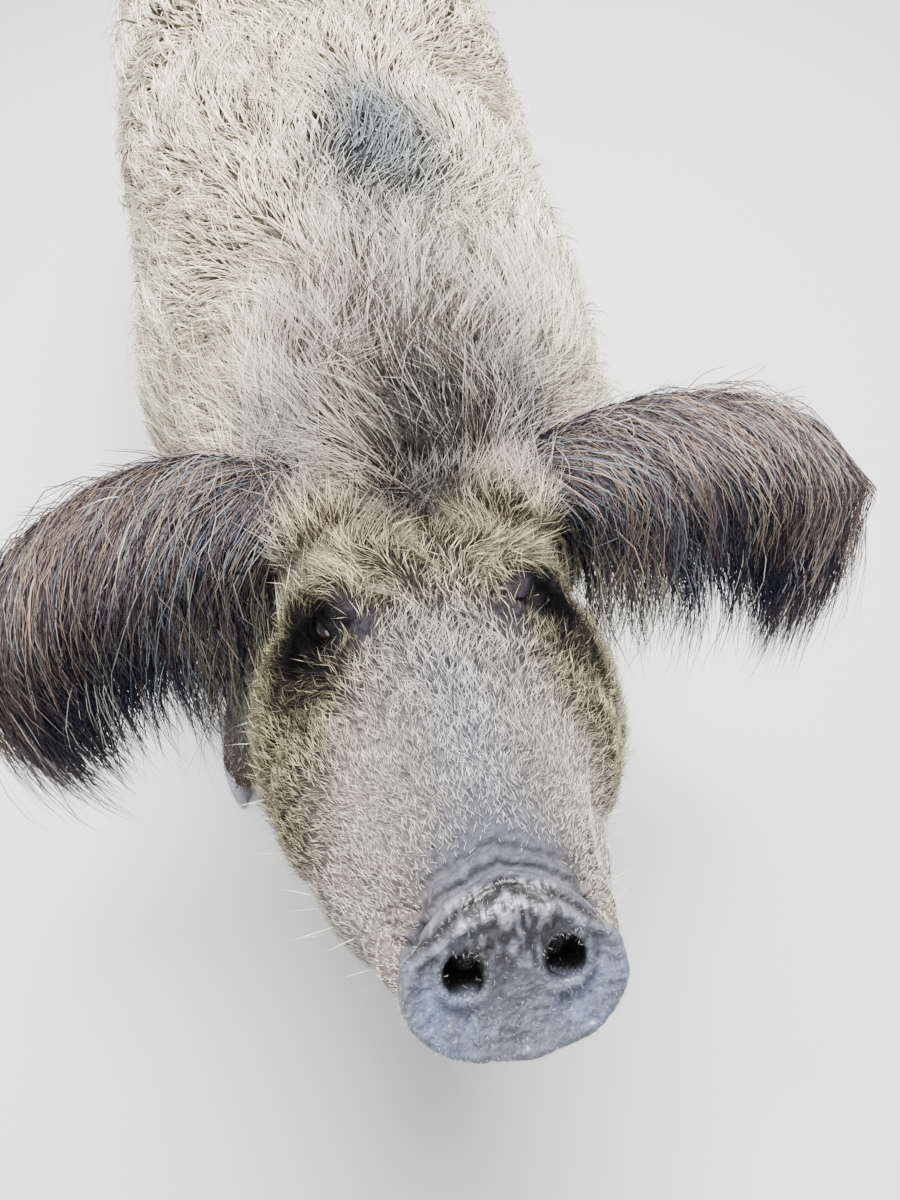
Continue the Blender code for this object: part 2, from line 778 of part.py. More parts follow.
def disc_ring(centre, side, up, size, shaped, count=32):
    """A ring of evenly turned points between the plain oval behind the disc and the outline of its face."""
    half = curve_through(DISC_OUTLINE, 80)
    whole = half + [np.array((-a, b)) for a, b in half[-2:0:-1]]
    angles = np.array([math.atan2(b + DISC_LOWERED, a) for a, b in whole])
    reaches = np.array([math.hypot(a, b + DISC_LOWERED) for a, b in whole])
    order = np.argsort(angles)
    ring = []
    for k in range(count):
        angle = -math.pi + 2.0 * math.pi * k / count
        reach = np.interp(angle, angles[order], reaches[order], period=2.0 * math.pi)
        half, rise, drop = DISC_FOLDS
        high = rise if angle > 0.0 else drop
        plain = 1.0 / math.hypot(math.cos(angle) / half, math.sin(angle) / high)
        reach = size * (plain + (reach - plain) * shaped)
        a, b = math.cos(angle) * reach, math.sin(angle) * reach
        ring.append(centre + side * a + up * (b - DISC_LOWERED))
    return ring


def make_disc(looks):
    normal, up = disc_axes()
    side = HeadFrame.left
    rows = ((GAP, 1.0, 0.0), (0.006, 1.0, 0.10), (0.0125, 1.0, 0.75), (0.0165, 1.0, 1.0))
    rows += ((0.0215, 0.98, 1.0), (DISC_THICKNESS, 0.88, 1.0))
    rings = [disc_ring(disc_back() + normal * out, side, up, size, shaped) for out, size, shaped in rows]
    disc = loft("snout", rings)
    holes = []
    for sign in (1, -1):
        rings = []
        for depth, size in ((-0.006, 1.25), (0.004, 1.05), (NOSTRIL_DEPTH, 0.70)):
            centre = SNOUT_AT + side * (sign * (NOSTRIL_SIDE - 0.15 * depth)) - normal * depth
            radius = NOSTRIL_RADIUS * size
            rings.append(oval(centre, side, up, radius * 1.1, radius, radius, 2.0, 12))
        holes.append(loft("nostril", rings))
    disc = boolean(disc, holes, "DIFFERENCE")
    return new_object("snout", disc, looks["snout"])


def ear_place(name, along, over, height):
    """A place by the ear flap: a share of its length, metres from its middle line forwards, and height."""
    (back, side, up), length, direction, across, droop = EARS[name]
    direction = direction.normalized()
    across = (across - direction * across.dot(direction)).normalized()
    sign = 1 if name == "left" else -1
    normal = direction.cross(across).normalized() * -sign
    root = HeadFrame.point(back, sign * side, up)
    centre = root + direction * (length * along) - Vector((0, 0, 1)) * (droop * along * along)
    share = abs(over) / ear_half_width(along)
    cup = EAR_CUP * (0.6 + 0.4 * along) * (share * share if share < 1.0 else 0.4 + 0.6 * share)
    return centre + across * over + normal * (height - cup)


def ear_half_width(along):
    """Half width of the flap: a narrow root, a broad middle and a rounded tip."""
    swell = 0.48 + 0.52 * math.sin(math.pi * min(1.0, along / 0.45) / 2.0)
    tip = math.sqrt(max(0.0, 1.0 - max(0.0, (along - 0.50) / 0.50) ** 2.2))
    return EAR_HALF_WIDTH * swell * max(tip, 0.20)


def ear_mesh(name):
    """The flap as one closed sheet: its outer face, its inner face and the rim between them."""
    steps, lanes = 9, 6
    rings = []
    for i in range(steps + 1):
        along = math.sin(0.5 * math.pi * i / steps)
        root = max(0.0, 1.0 - along / 0.3) ** 2
        thick = EAR_THICKNESS + (EAR_ROOT_THICKNESS - EAR_THICKNESS) * root
        upper, lower = [], []
        for k in range(lanes):
            across = -1.0 + 2.0 * k / (lanes - 1)
            rim = math.sqrt(max(0.0, 1.0 - across * across)) * 0.75 + 0.25
            over = across * ear_half_width(along)
            upper.append(ear_place(name, along, over, thick * rim / 2.0))
            lower.append(ear_place(name, along, over * 0.985, -thick * rim / 2.0))
        rings.append(upper + lower[::-1])
    return loft(f"ear_{name}", rings)


def ear_lock(name, start, end):
    """A lock on the ear's outer face. Each end is a share of the ear's length and metres across it."""
    rings = []
    profile = ((0.0, 0.6, -0.001, 1.0), (0.36, 1.0, 0.0040, 1.0), (0.72, 0.74, 0.0030, 0.7))
    for share, wide, rise, thick in profile:
        along = start[0] + (end[0] - start[0]) * share
        over = start[1] + (end[1] - start[1]) * share
        here = ear_place(name, along, over, 0.0)
        ahead = ear_place(name, along + (end[0] - start[0]) * 0.02, over + (end[1] - start[1]) * 0.02, 0.0)
        normal = ear_place(name, along, over, 1.0) - here
        side = normal.cross(ahead - here).normalized() * (EAR_LOCK_HALF_WIDTH * wide)
        centre = here + normal * (EAR_THICKNESS / 2.0 + rise)
        half = normal * (EAR_LOCK_THICKNESS * thick)
        rings.append([centre + side - half * 0.5, centre + half, centre - side - half * 0.5, centre - half])
    return blade(rings, ear_place(name, end[0], end[1], 0.0))


def ear_locks(name):
    """Long hair that lies across the outer face and hangs beyond the front edge and the tip."""
    rng = random.Random(len(name))
    made = []
    for k in range(EAR_LOCKS):
        along = 0.17 + 0.68 * k / (EAR_LOCKS - 1)
        to = along + rng.uniform(0.05, 0.13)
        reach = ear_half_width(to) + EAR_LOCK_REACH * rng.uniform(0.75, 1.2)
        made.append(ear_lock(name, (along, -0.4 * ear_half_width(along)), (to, reach)))
    for k in range(EAR_TIP_LOCKS):
        over = -0.006 + 0.028 * k
        made.append(ear_lock(name, (0.66, over), (1.14 + 0.06 * k, over * 1.6 + 0.03)))
    return made


def make_ears(looks, neighbours):
    for name in EARS:
        flap = boolean(ear_mesh(name), ear_locks(name), "UNION")
        new_object(f"ear_{name}", clear_of(flap, neighbours), looks["ear"])


def claw_mesh(x, y, side, height, size, sole=True):
    """One claw: a blunt wedge with a sloping front wall and a flat sole."""
    rings = []
    rows = ((0.0, 1.0, 1.0), (0.012, 0.98, 1.0), (0.030, 0.78, 0.96), (height, 0.46, 0.84))
    for z, toe, girth in rows:
        ring = []
        for k in range(12):
            angle = 2.0 * math.pi * k / 12
            c, s = math.cos(angle), math.sin(angle)
            narrow = 1.0 - 0.34 * max(0.0, s) ** 1.5
            across = c * CLAW_HALF_WIDTH * girth * narrow
            fore = s * (CLAW_TOE * toe if s > 0 else CLAW_HEEL * girth)
            ring.append(Vector((x + side * across * size, y - fore * size, z)))
        rings.append(ring)
    return loft("claw", rings)


def make_feet(looks, legs):
    for name in STANCE:
        x, y = foot_at(name)
        for place, side in (("outer", 1), ("inner", -1)):
            out = math.copysign(1.0, x) * side
            claw = claw_mesh(x + out * CLAW_SPREAD, y - 0.004, out, CORONET - GAP, 1.0)
            new_object(f"claw_{name}_{place}", claw, looks["horn"])
            root = Vector((x + out * 0.020, y + 0.030, DEWCLAW_HEIGHT))
            tip = root + Vector((out * 0.008, 0.016, -0.030))
            along = (tip - root).normalized()
            across = along.cross(Vector((0, 1, 0))).normalized()
            up = across.cross(along)
            rings = []
            for share, girth in ((-0.25, 0.95), (0.0, 1.0), (0.55, 0.85), (1.0, 0.35)):
                radius = DEWCLAW_SIZE * girth
                centre = root.lerp(tip, share)
                rings.append(oval(centre, across, up, radius, radius * 0.8, radius * 0.8, 2.0, 9))
            dewclaw = clear_of(loft("dewclaw", rings), [legs[name]])
            new_object(f"dewclaw_{name}_{place}", dewclaw, looks["horn"])


def make_body(looks, core, locks):
    """The neck, the torso, the legs and the tail, parted from one body."""
    whole = boolean(core, locks, "UNION")
    head_at, head_way = head_plane()
    neck_at, neck_way = neck_plane()
    rest = cut(whole, head_at, head_way, GAP / 2.0)
    neck = cut(rest, neck_at, -neck_way, GAP / 2.0)
    new_object("neck", neck, looks["coat"])
    bare_neck = cut(cut(core, head_at, head_way, GAP / 2.0), neck_at, -neck_way, GAP / 2.0)
    behind = cut(whole, neck_at, neck_way, GAP / 2.0)
    rump = Vector((0, TAIL_CUT, 0))
    tail = cut(whole, rump, Vector((0, -1, 0)), GAP / 2.0)
    behind = cut(behind, rump, Vector((0, 1, 0)), GAP / 2.0)
    belly = Vector((0, 0, LEG_CUT))
    torso = cut(behind, belly, Vector((0, 0, -1)), GAP / 2.0)
    new_object("torso", torso, looks["coat"])
    legs = {}
    for name in STANCE:
        x, y = foot_at(name)
        leg = cut(whole, Vector((0, 0, 0)), Vector((-x, 0, 0)))
        leg = cut(leg, Vector((0, BODY_MIDDLE, 0)), Vector((0, BODY_MIDDLE - y, 0)))
        leg = cut(leg, belly, Vector((0, 0, 1)), GAP / 2.0)
        leg = cut(leg, Vector((0, 0, CORONET)), Vector((0, 0, -1)))
        legs[name] = leg
        new_object(f"leg_{name}", leg, looks["face"])
    return bare_neck, tail, legs


def tassel_locks():
    """Locks that hang round the end of the tail."""
    rng = random.Random(3)
    (x, y, z), radius = TAIL[-1]
    made = []
    for k in range(TASSEL_LOCKS):
        angle = 2.0 * math.pi * k / TASSEL_LOCKS + 0.3
        out = Vector((math.cos(angle), math.sin(angle), 0.0))
        side = Vector((-out.y, out.x, 0.0))
        length = TASSEL_LENGTH * rng.uniform(0.8, 1.15)
        rings = []
        for share, far, wide, thick in TASSEL_PROFILE:
            centre = Vector((x, y, z + 0.045 - (length + 0.045) * share)) + out * (radius + far)
            across = side * (0.010 * wide)
            rings.append([centre + across, centre + out * thick, centre - across, centre - out * thick])
        made.append(blade(rings, Vector((x, y, z - length)) + out * 0.010))
    return made


def make_tail(looks, tail):
    made = boolean(tail, tassel_locks(), "UNION")
    new_object("tail", made, looks["coat"])


def centre_everything():
    """Moves the animal so that the origin is on the floor under the middle of its box."""
    bpy.context.view_layer.update()
    low = Vector((1e9, 1e9, 1e9))
    high = -low
    solids = [o for o in bpy.context.scene.objects if o.type == "MESH"]
    for obj in solids:
        for vert in obj.data.vertices:
            low = Vector(map(min, low, vert.co))
            high = Vector(map(max, high, vert.co))
    shift = Vector((-(low.x + high.x) / 2.0, -(low.y + high.y) / 2.0, -low.z))
    for obj in solids:
        obj.data.transform(Matrix.Translation(shift))
        obj.data.update()


def main():
    clear_scene()
    looks = {
        "coat": material("pale_coat", COAT_PALE, 0.9),
        "face": material("short_coat", FLESH, 0.9),
        "ear": material("ear_coat", EAR_DARK, 0.9),
        "snout": material("snout_skin", SNOUT_GREY, 0.7),
        "horn": material("claw_horn", HORN_GREY, 0.5),
        "eye": material("eye", EYE_DARK, 0.1),
    }
    core = fused("flesh", body_parts(BODY_COAT), COARSE_VOXEL, 5, BODY_TRIANGLES)
    locks = body_locks(core) + head_locks(core)
    bare_head = make_head(looks, locks)
    make_eyes(looks)
    make_disc(looks)
    bare_neck, tail, legs = make_body(looks, core, locks)
    make_ears(looks, [bare_head, bare_neck, *locks])
    make_tail(looks, tail)
    make_feet(looks, legs)
    centre_everything()


main()
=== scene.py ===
"""A life-size mangalica pig with its coat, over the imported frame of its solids.

Metres, +Z up. The pig faces -Y and its left side is +X. Places are worked out from the line of the
shoulders, as in the solids, and every mesh is moved at the end of its making to where the frame stands.
"""

import math

import bmesh
import bpy
import numpy as np
from mathutils import Matrix, Vector, noise
from mathutils.bvhtree import BVHTree
from mathutils.kdtree import KDTree


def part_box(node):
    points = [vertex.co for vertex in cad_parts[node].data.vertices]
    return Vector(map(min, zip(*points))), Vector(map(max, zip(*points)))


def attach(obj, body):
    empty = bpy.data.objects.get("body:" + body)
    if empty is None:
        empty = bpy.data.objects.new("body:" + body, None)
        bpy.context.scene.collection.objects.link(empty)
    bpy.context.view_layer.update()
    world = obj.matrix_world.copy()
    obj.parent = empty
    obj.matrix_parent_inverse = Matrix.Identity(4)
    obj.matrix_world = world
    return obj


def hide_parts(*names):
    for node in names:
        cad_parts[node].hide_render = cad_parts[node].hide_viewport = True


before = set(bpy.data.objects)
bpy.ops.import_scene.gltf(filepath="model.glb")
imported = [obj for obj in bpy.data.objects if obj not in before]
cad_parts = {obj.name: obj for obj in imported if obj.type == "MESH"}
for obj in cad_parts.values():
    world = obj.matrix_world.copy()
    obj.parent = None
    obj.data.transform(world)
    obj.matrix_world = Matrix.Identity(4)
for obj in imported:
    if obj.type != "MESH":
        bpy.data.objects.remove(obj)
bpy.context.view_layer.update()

# The flesh and its skin
# The whole animal under its coat: trunk, neck, skull, ear flaps, legs and tail in one skin. It is a thin,
# dark, wrinkled hide over muscle and fat, drawn here over the same measures as the solids.

# The head is carried raised. Its places are given as a distance behind the snout disc, a distance to the
# pig's left and a height over the line of the muzzle.
SNOUT_AT = np.array((-0.012, -0.570, 0.653))
HEAD_PITCH = math.radians(30.0)
HEAD_YAW = math.radians(1.8)
LEVEL = math.cos(HEAD_PITCH)
FORWARD = np.array((-math.sin(HEAD_YAW) * LEVEL, -math.cos(HEAD_YAW) * LEVEL, math.sin(HEAD_PITCH)))
LEFT = np.array((math.cos(HEAD_YAW), -math.sin(HEAD_YAW), 0.0))
UP = np.cross(FORWARD, LEFT)
X, Y, Z = np.eye(3)


def head_point(back, side, up):
    return SNOUT_AT - FORWARD * back + LEFT * side + UP * up


def head_places(points):
    """Distance behind the disc, distance to the left and height, for rows of points."""
    rel = points - SNOUT_AT
    return -rel @ FORWARD, rel @ LEFT, rel @ UP


EYE_AT = (0.214, 0.060, 0.052)
low, high = (np.array(corner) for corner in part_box("eye_left"))
SHIFT = (low + high) / 2.0 - head_point(*EYE_AT)

# Of each oval of the trunk: its place along the body, its height, half width, rise and drop
TRUNK = (
    (0.862, 0.490, 0.030, 0.026, 0.040),
    (0.845, 0.485, 0.084, 0.066, 0.115),
    (0.800, 0.472, 0.132, 0.122, 0.160),
    (0.720, 0.455, 0.166, 0.178, 0.170),
    (0.600, 0.445, 0.184, 0.222, 0.168),
    (0.420, 0.435, 0.196, 0.256, 0.166),
    (0.220, 0.430, 0.199, 0.266, 0.163),
    (0.050, 0.430, 0.190, 0.254, 0.152),
    (-0.080, 0.440, 0.183, 0.228, 0.142),
    (-0.160, 0.455, 0.165, 0.192, 0.134),
    (-0.225, 0.470, 0.137, 0.146, 0.124),
    (-0.285, 0.480, 0.105, 0.098, 0.112),
    (-0.330, 0.485, 0.052, 0.054, 0.070),
)
# How far the ovals of the trunk and of the skull are from round, where 2 is round
TRUNK_SQUARE = 2.25
SKULL_SQUARE = 2.2
# How far the middle of the neck sways to the left, where, and over what length
NECK_SWAY = (0.012, -0.200, 0.140)
# Of each oval of the skull: its distance behind the disc, half width, rise and drop
SKULL = (
    (0.004, 0.042, 0.026, 0.030),
    (0.020, 0.047, 0.030, 0.038),
    (0.055, 0.058, 0.037, 0.050),
    (0.100, 0.073, 0.045, 0.066),
    (0.150, 0.090, 0.054, 0.082),
    (0.200, 0.098, 0.068, 0.098),
    (0.250, 0.098, 0.085, 0.112),
    (0.300, 0.094, 0.093, 0.116),
    (0.350, 0.082, 0.082, 0.104),
    (0.400, 0.050, 0.050, 0.060),
)
# Of each rounded mass of the head: its place and its half sizes
HEAD_MASSES = (
    ((0.235, 0.068, -0.040), (0.095, 0.050, 0.078)),
    ((0.240, 0.047, 0.060), (0.040, 0.023, 0.016)),
    ((0.165, 0.070, -0.018), (0.070, 0.030, 0.050)),
    ((0.075, 0.040, -0.022), (0.070, 0.025, 0.030)),
    ((0.115, 0.050, -0.034), (0.072, 0.032, 0.042)),
    ((0.306, 0.058, 0.068), (0.034, 0.036, 0.034)),
    ((0.110, 0.000, -0.060), (0.088, 0.058, 0.034)),
)
# Of each rounded mass of the body: its place along, out and up, and its half sizes
BODY_MASSES = (
    ((0.000, 0.125, 0.410), (0.075, 0.110, 0.170)),
    ((0.700, 0.100, 0.420), (0.090, 0.120, 0.165)),
    ((0.705, 0.000, 0.385), (0.100, 0.135, 0.115)),
    ((0.010, 0.000, 0.390), (0.110, 0.130, 0.115)),
)
COLLAR = (0.0490, 0.0370, 0.020)
# Of each oval of a leg: its place, and its half sizes across and along the body
FRONT_LEG = (
    ((0.095, 0.010, 0.430), 0.070, 0.105),
    ((0.112, -0.005, 0.330), 0.056, 0.075),
    ((0.122, -0.006, 0.250), 0.042, 0.050),
    ((0.126, -0.014, 0.175), 0.034, 0.037),
    ((0.126, -0.010, 0.115), 0.026, 0.028),
    ((0.128, -0.016, 0.070), 0.030, 0.034),
    ((0.130, -0.026, 0.036), 0.033, 0.038),
)
HIND_LEG = (
    ((0.090, 0.690, 0.450), 0.085, 0.140),
    ((0.108, 0.655, 0.350), 0.074, 0.120),
    ((0.122, 0.690, 0.270), 0.050, 0.070),
    ((0.128, 0.735, 0.205), 0.033, 0.043),
    ((0.128, 0.715, 0.130), 0.026, 0.030),
    ((0.129, 0.700, 0.072), 0.030, 0.036),
    ((0.130, 0.688, 0.036), 0.033, 0.039),
)
# Of each leg: its ovals, its side, and how far its foot is set outwards and back
STANCE = {
    "front_left": (FRONT_LEG, 1, 0.000, -0.050),
    "front_right": (FRONT_LEG, -1, 0.060, -0.185),
    "hind_left": (HIND_LEG, 1, 0.000, -0.040),
    "hind_right": (HIND_LEG, -1, 0.005, 0.015),
}
HIP_HEIGHT = 0.45
CORONET = 0.045
# Of each oval of the tail: its place and its radius
TAIL = (
    ((0.000, 0.790, 0.545), 0.024),
    ((0.000, 0.850, 0.548), 0.020),
    ((0.004, 0.893, 0.532), 0.016),
    ((0.010, 0.914, 0.485), 0.0135),
    ((0.014, 0.916, 0.425), 0.0115),
    ((0.012, 0.910, 0.365), 0.0095),
    ((0.006, 0.908, 0.315), 0.0070),
)
EAR_HALF_WIDTH = 0.056
EAR_CUP = 0.026
EAR_THICKNESS = 0.006
EAR_ROOT_THICKNESS = 0.030
# Of each ear: its root, its length, the way it points, the way to its front edge, and its droop
EARS = {
    "left": (
        (0.304, 0.080, 0.085), 0.262, np.array((1.0, -0.03, 0.10)), np.array((0.0, -0.66, -0.75)), 0.055
    ),
    "right": (
        (0.312, 0.070, 0.090), 0.250, np.array((-0.97, -0.15, 0.11)), np.array((0.0, -0.62, -0.78)), 0.100
    ),
}
EYE_RADIUS = 0.0125
EYE_GAP = 0.0002
LID_THICKNESS = 0.0032
LID_OPENING = (0.0112, 0.0047)
DISC_OUTLINE = (
    (0.0000, 0.0345),
    (0.0210, 0.0275),
    (0.0330, 0.0185),
    (0.0410, 0.0125),
    (0.0490, 0.0065),
    (0.0520, -0.0060),
    (0.0500, -0.0200),
    (0.0400, -0.0340),
    (0.0220, -0.0430),
    (0.0000, -0.0460),
)
DISC_LOWERED = 0.006
DISC_FOLDS = (0.0500, 0.0500, 0.0385)
DISC_THICKNESS = 0.024
DISC_TILT = math.radians(24.0)
NOSTRIL_SIDE = 0.0225
NOSTRIL_RADIUS = 0.0078
# Of the well of a nostril: its depth and its share of the radius there
NOSTRIL_WELL = ((-0.008, 1.35), (0.000, 1.12), (0.005, 1.0), (0.017, 0.70))
MOUTH_LINE = ((0.030, -0.041), (0.060, -0.050), (0.095, -0.053), (0.130, -0.047), (0.155, -0.036))
MOUTH_DEPTH = 0.008
MOUTH_HEIGHT = 0.0026
HEAD_VOXEL = 0.0021
BODY_VOXEL = 0.0060
HEAD_ENDS = 0.350
BODY_STARTS = 0.322

DISC_NORMAL = FORWARD * math.cos(DISC_TILT) + UP * math.sin(DISC_TILT)
DISC_UP = UP * math.cos(DISC_TILT) - FORWARD * math.sin(DISC_TILT)


def unit(rows):
    rows = np.asarray(rows, float)
    return rows / np.maximum(np.linalg.norm(rows, axis=-1, keepdims=True), 1e-12)


def curve_through(rows, count):
    """Rows of numbers read off a smooth curve that passes through the given rows."""
    table = np.array(rows, float)
    last = len(table) - 1
    t = np.linspace(0.0, last, count)
    i = np.minimum(t.astype(int), last - 1)
    u = (t - i)[:, None]
    before, here, there, after = (table[np.clip(i + k, 0, last)] for k in (-1, 0, 1, 2))
    slope = there - before
    bend = before - 2.5 * here + 2.0 * there - 0.5 * after
    return here + 0.5 * u * slope + u * u * bend + u * u * u * (1.5 * (here - there) + 0.5 * (after - before))


def oval(centre, side, up, half_side, rise, drop, squareness=2.0, count=24):
    """A closed ring whose upper and lower halves have their own heights."""
    angle = np.linspace(0.0, 2.0 * math.pi, count, endpoint=False)
    c, s = np.cos(angle), np.sin(angle)
    across = np.sign(c) * np.abs(c) ** (2.0 / squareness) * half_side
    high = np.sign(s) * np.abs(s) ** (2.0 / squareness) * np.where(s > 0, rise, drop)
    return np.asarray(centre) + across[:, None] * np.asarray(side) + high[:, None] * np.asarray(up)


def loft(rings):
    """Points and faces of a closed body through rings of as many points each."""
    count = len(rings[0])
    last = (len(rings) - 1) * count
    faces = []
    for start in range(0, last, count):
        for k in range(count):
            a, b = start + k, start + (k + 1) % count
            faces.append((a, b, b + count, a + count))
    faces += [tuple(reversed(range(count))), tuple(range(last, last + count))]
    return np.concatenate(rings), faces


def ellipsoid(centre, axes, half_sizes, rings=20, sides=32):
    """A closed round body. Axes are three unit vectors, one for each half size."""
    turn = np.linspace(0.0, 2.0 * math.pi, sides, endpoint=False)
    levels = []
    for k in range(1, rings):
        angle = math.pi * k / rings
        ways = (np.sin(angle) * np.cos(turn), np.sin(angle) * np.sin(turn), np.full(sides, math.cos(angle)))
        first, second, third = ((way * half)[:, None] for way, half in zip(ways, half_sizes))
        levels.append(np.asarray(centre) + first * axes[0] + second * axes[1] + third * axes[2])
    return loft(levels)


def reshaped(mesh, change):
    """The mesh after a change to its points and faces."""
    work = bmesh.new()
    work.from_mesh(mesh)
    change(work)
    work.to_mesh(mesh)
    work.free()
    return mesh


def mesh_from(name, bodies):
    """One mesh from closed bodies, all facing outwards."""
    points, faces, start = [], [], 0
    for body_points, body_faces in bodies:
        points.append(body_points)
        faces += [tuple(i + start for i in face) for face in body_faces]
        start += len(body_points)
    mesh = bpy.data.meshes.new(name)
    mesh.from_pydata(np.concatenate(points).tolist(), [], faces)
    return reshaped(mesh, lambda work: bmesh.ops.recalc_face_normals(work, faces=work.faces))


def new_object(name, mesh):
    made = bpy.data.objects.new(name, mesh)
    bpy.context.scene.collection.objects.link(made)
    return made


def evaluated(obj):
    """The object's mesh with its modifiers applied. The object goes."""
    bpy.context.view_layer.update()
    graph = bpy.context.evaluated_depsgraph_get()
    mesh = bpy.data.meshes.new_from_object(obj.evaluated_get(graph))
    bpy.data.objects.remove(obj, do_unlink=True)
    return mesh


def fused(bodies, voxel, smoothing=5):
    """Overlapping bodies melted into one skin."""
    obj = new_object("fused", mesh_from("fused", bodies))
    melt = obj.modifiers.new("melt", "REMESH")
    melt.mode = "VOXEL"
    melt.voxel_size = voxel
    soften = obj.modifiers.new("soften", "SMOOTH")
    soften.factor = 0.5
    soften.iterations = smoothing
    return evaluated(obj)


def without(mesh, bodies):
    """The mesh with closed bodies cut out of it."""
    for body in bodies:
        tool = new_object("tool", mesh_from("tool", [body]))
        obj = new_object("base", mesh)
        change = obj.modifiers.new("change", "BOOLEAN")
        change.operation = "DIFFERENCE"
        change.object = tool
        change.solver = "MANIFOLD"
        mesh = evaluated(obj)
        bpy.data.objects.remove(tool, do_unlink=True)
    return mesh


def trimmed(mesh, point, normal):
    """What lies on the side that the normal points away from, left open."""

    def cut(work):
        geometry = work.verts[:] + work.edges[:] + work.faces[:]
        bmesh.ops.bisect_plane(work, geom=geometry, plane_co=point, plane_no=normal, clear_outer=True)

    return reshaped(mesh, cut)


def sway(y):
    """How far the middle of the trunk is to the pig's left, where the neck bends."""
    most, at, reach = NECK_SWAY
    return most * math.exp(-(((y - at) / reach) ** 2))


def trunk_body(first=0):
    """The trunk and the neck, from the given oval on."""
    rows = curve_through(TRUNK[first:], 90)
    return loft([oval((sway(y), y, z), X, Z, *sizes, TRUNK_SQUARE, 64) for y, z, *sizes in rows])


def skull_body():
    rows = curve_through(SKULL, 80)
    return loft([oval(head_point(back, 0, 0), LEFT, UP, *sizes, SKULL_SQUARE, 64) for back, *sizes in rows])


def mass_bodies(masses, place, axes):
    """Rounded masses of flesh, on both sides of the middle."""
    return [
        ellipsoid(place(along, sign * side, up), axes, sizes)
        for (along, side, up), sizes in masses
        for sign in (1, -1)
    ]


def leg_rows(name):
    rows, sign, outwards, along = STANCE[name]
    made = []
    for (x, y, z), across, fore in rows:
        share = min(1.0, max(0.0, (HIP_HEIGHT - z) / (HIP_HEIGHT - CORONET)))
        made.append((sign * (x + outwards * share), y + along * share, z, across, fore))
    return made


def leg_body(name):
    rings = []
    for x, y, z, across, fore in curve_through(leg_rows(name), 60):
        knuckle = 1.0 + 0.05 * math.sin(z * 95.0) * math.exp(-((z - 0.11) / 0.06) ** 2)
        rings.append(oval((x, y, z), X, Y, across * knuckle, fore, fore, count=40))
    return loft(rings)


def tail_body():
    read = curve_through([(*place, radius) for place, radius in TAIL], 60)
    rings = []
    for i, (x, y, z, radius) in enumerate(read):
        ahead = read[min(i + 1, len(read) - 1)]
        behind = read[max(i - 1, 0)]
        along = unit(ahead[:3] - behind[:3])
        rings.append(oval((x, y, z), X, unit(np.cross(along, X)), radius, radius, radius))
    return loft(rings)


def ear_half_width(along):
    """Half width of the flap: a narrow root, a broad middle and a rounded tip."""
    swell = 0.48 + 0.52 * np.sin(math.pi * np.minimum(1.0, along / 0.45) / 2.0)
    past = np.minimum(1.0, np.maximum(0.0, (along - 0.50) / 0.50))
    return EAR_HALF_WIDTH * swell * np.maximum(np.sqrt(1.0 - past**2.2), 0.20)


def ear_place(name, along, over, height, furthest=2.6):
    """Points by the ear flap: shares of its length, metres from its middle line forwards, and heights."""
    (back, side, up), length, direction, across, droop = EARS[name]
    direction = unit(direction)
    across = unit(across - direction * (across @ direction))
    sign = 1 if name == "left" else -1
    normal = unit(np.cross(direction, across)) * -sign
    along, over, height = np.broadcast_arrays(*(np.asarray(v, float) for v in (along, over, height)))
    centre = head_point(back, sign * side, up) + along[..., None] * direction * length
    centre = centre - (droop * along * along)[..., None] * Z
    share = np.minimum(np.abs(over) / ear_half_width(along), furthest)
    cup = EAR_CUP * (0.6 + 0.4 * along) * np.where(share < 1.0, share**2, 0.4 + 0.6 * share)
    return centre + over[..., None] * across + (height - cup)[..., None] * normal


def ear_body(name):
    """The flap as one closed sheet: its outer face, its inner face and the rim between them."""
    steps, lanes = 40, 24
    rings = []
    for i in range(steps + 1):
        along = math.sin(0.5 * math.pi * i / steps)
        root = max(0.0, 1.0 - along / 0.3) ** 2
        thick = EAR_THICKNESS + (EAR_ROOT_THICKNESS - EAR_THICKNESS) * root
        across = np.linspace(-1.0, 1.0, lanes)
        rim = np.sqrt(np.maximum(0.0, 1.0 - across**2)) * 0.6 + 0.4
        over = across * ear_half_width(along)
        upper = ear_place(name, along, over, thick * rim / 2.0)
        lower = ear_place(name, along, over * 0.985, -thick * rim / 2.0)
        rings.append(np.concatenate((upper, lower[::-1])))
    return loft(rings)


half_outline = curve_through(DISC_OUTLINE, 80)
outline = np.concatenate((half_outline, half_outline[-2:0:-1] * (-1, 1)))
outline_turns = np.arctan2(outline[:, 1] + DISC_LOWERED, outline[:, 0])
outline_reaches = np.hypot(outline[:, 0], outline[:, 1] + DISC_LOWERED)
outline_order = np.argsort(outline_turns)


def disc_reach(turn, shaped=1.0):
    """How far the disc reaches from its lowered middle, between its folds' oval and its face's outline."""
    face = np.interp(
        turn, outline_turns[outline_order], outline_reaches[outline_order], period=2.0 * math.pi
    )
    half, rise, drop = DISC_FOLDS
    plain = 1.0 / np.hypot(np.cos(turn) / half, np.sin(turn) / np.where(turn > 0.0, rise, drop))
    return plain + (face - plain) * shaped


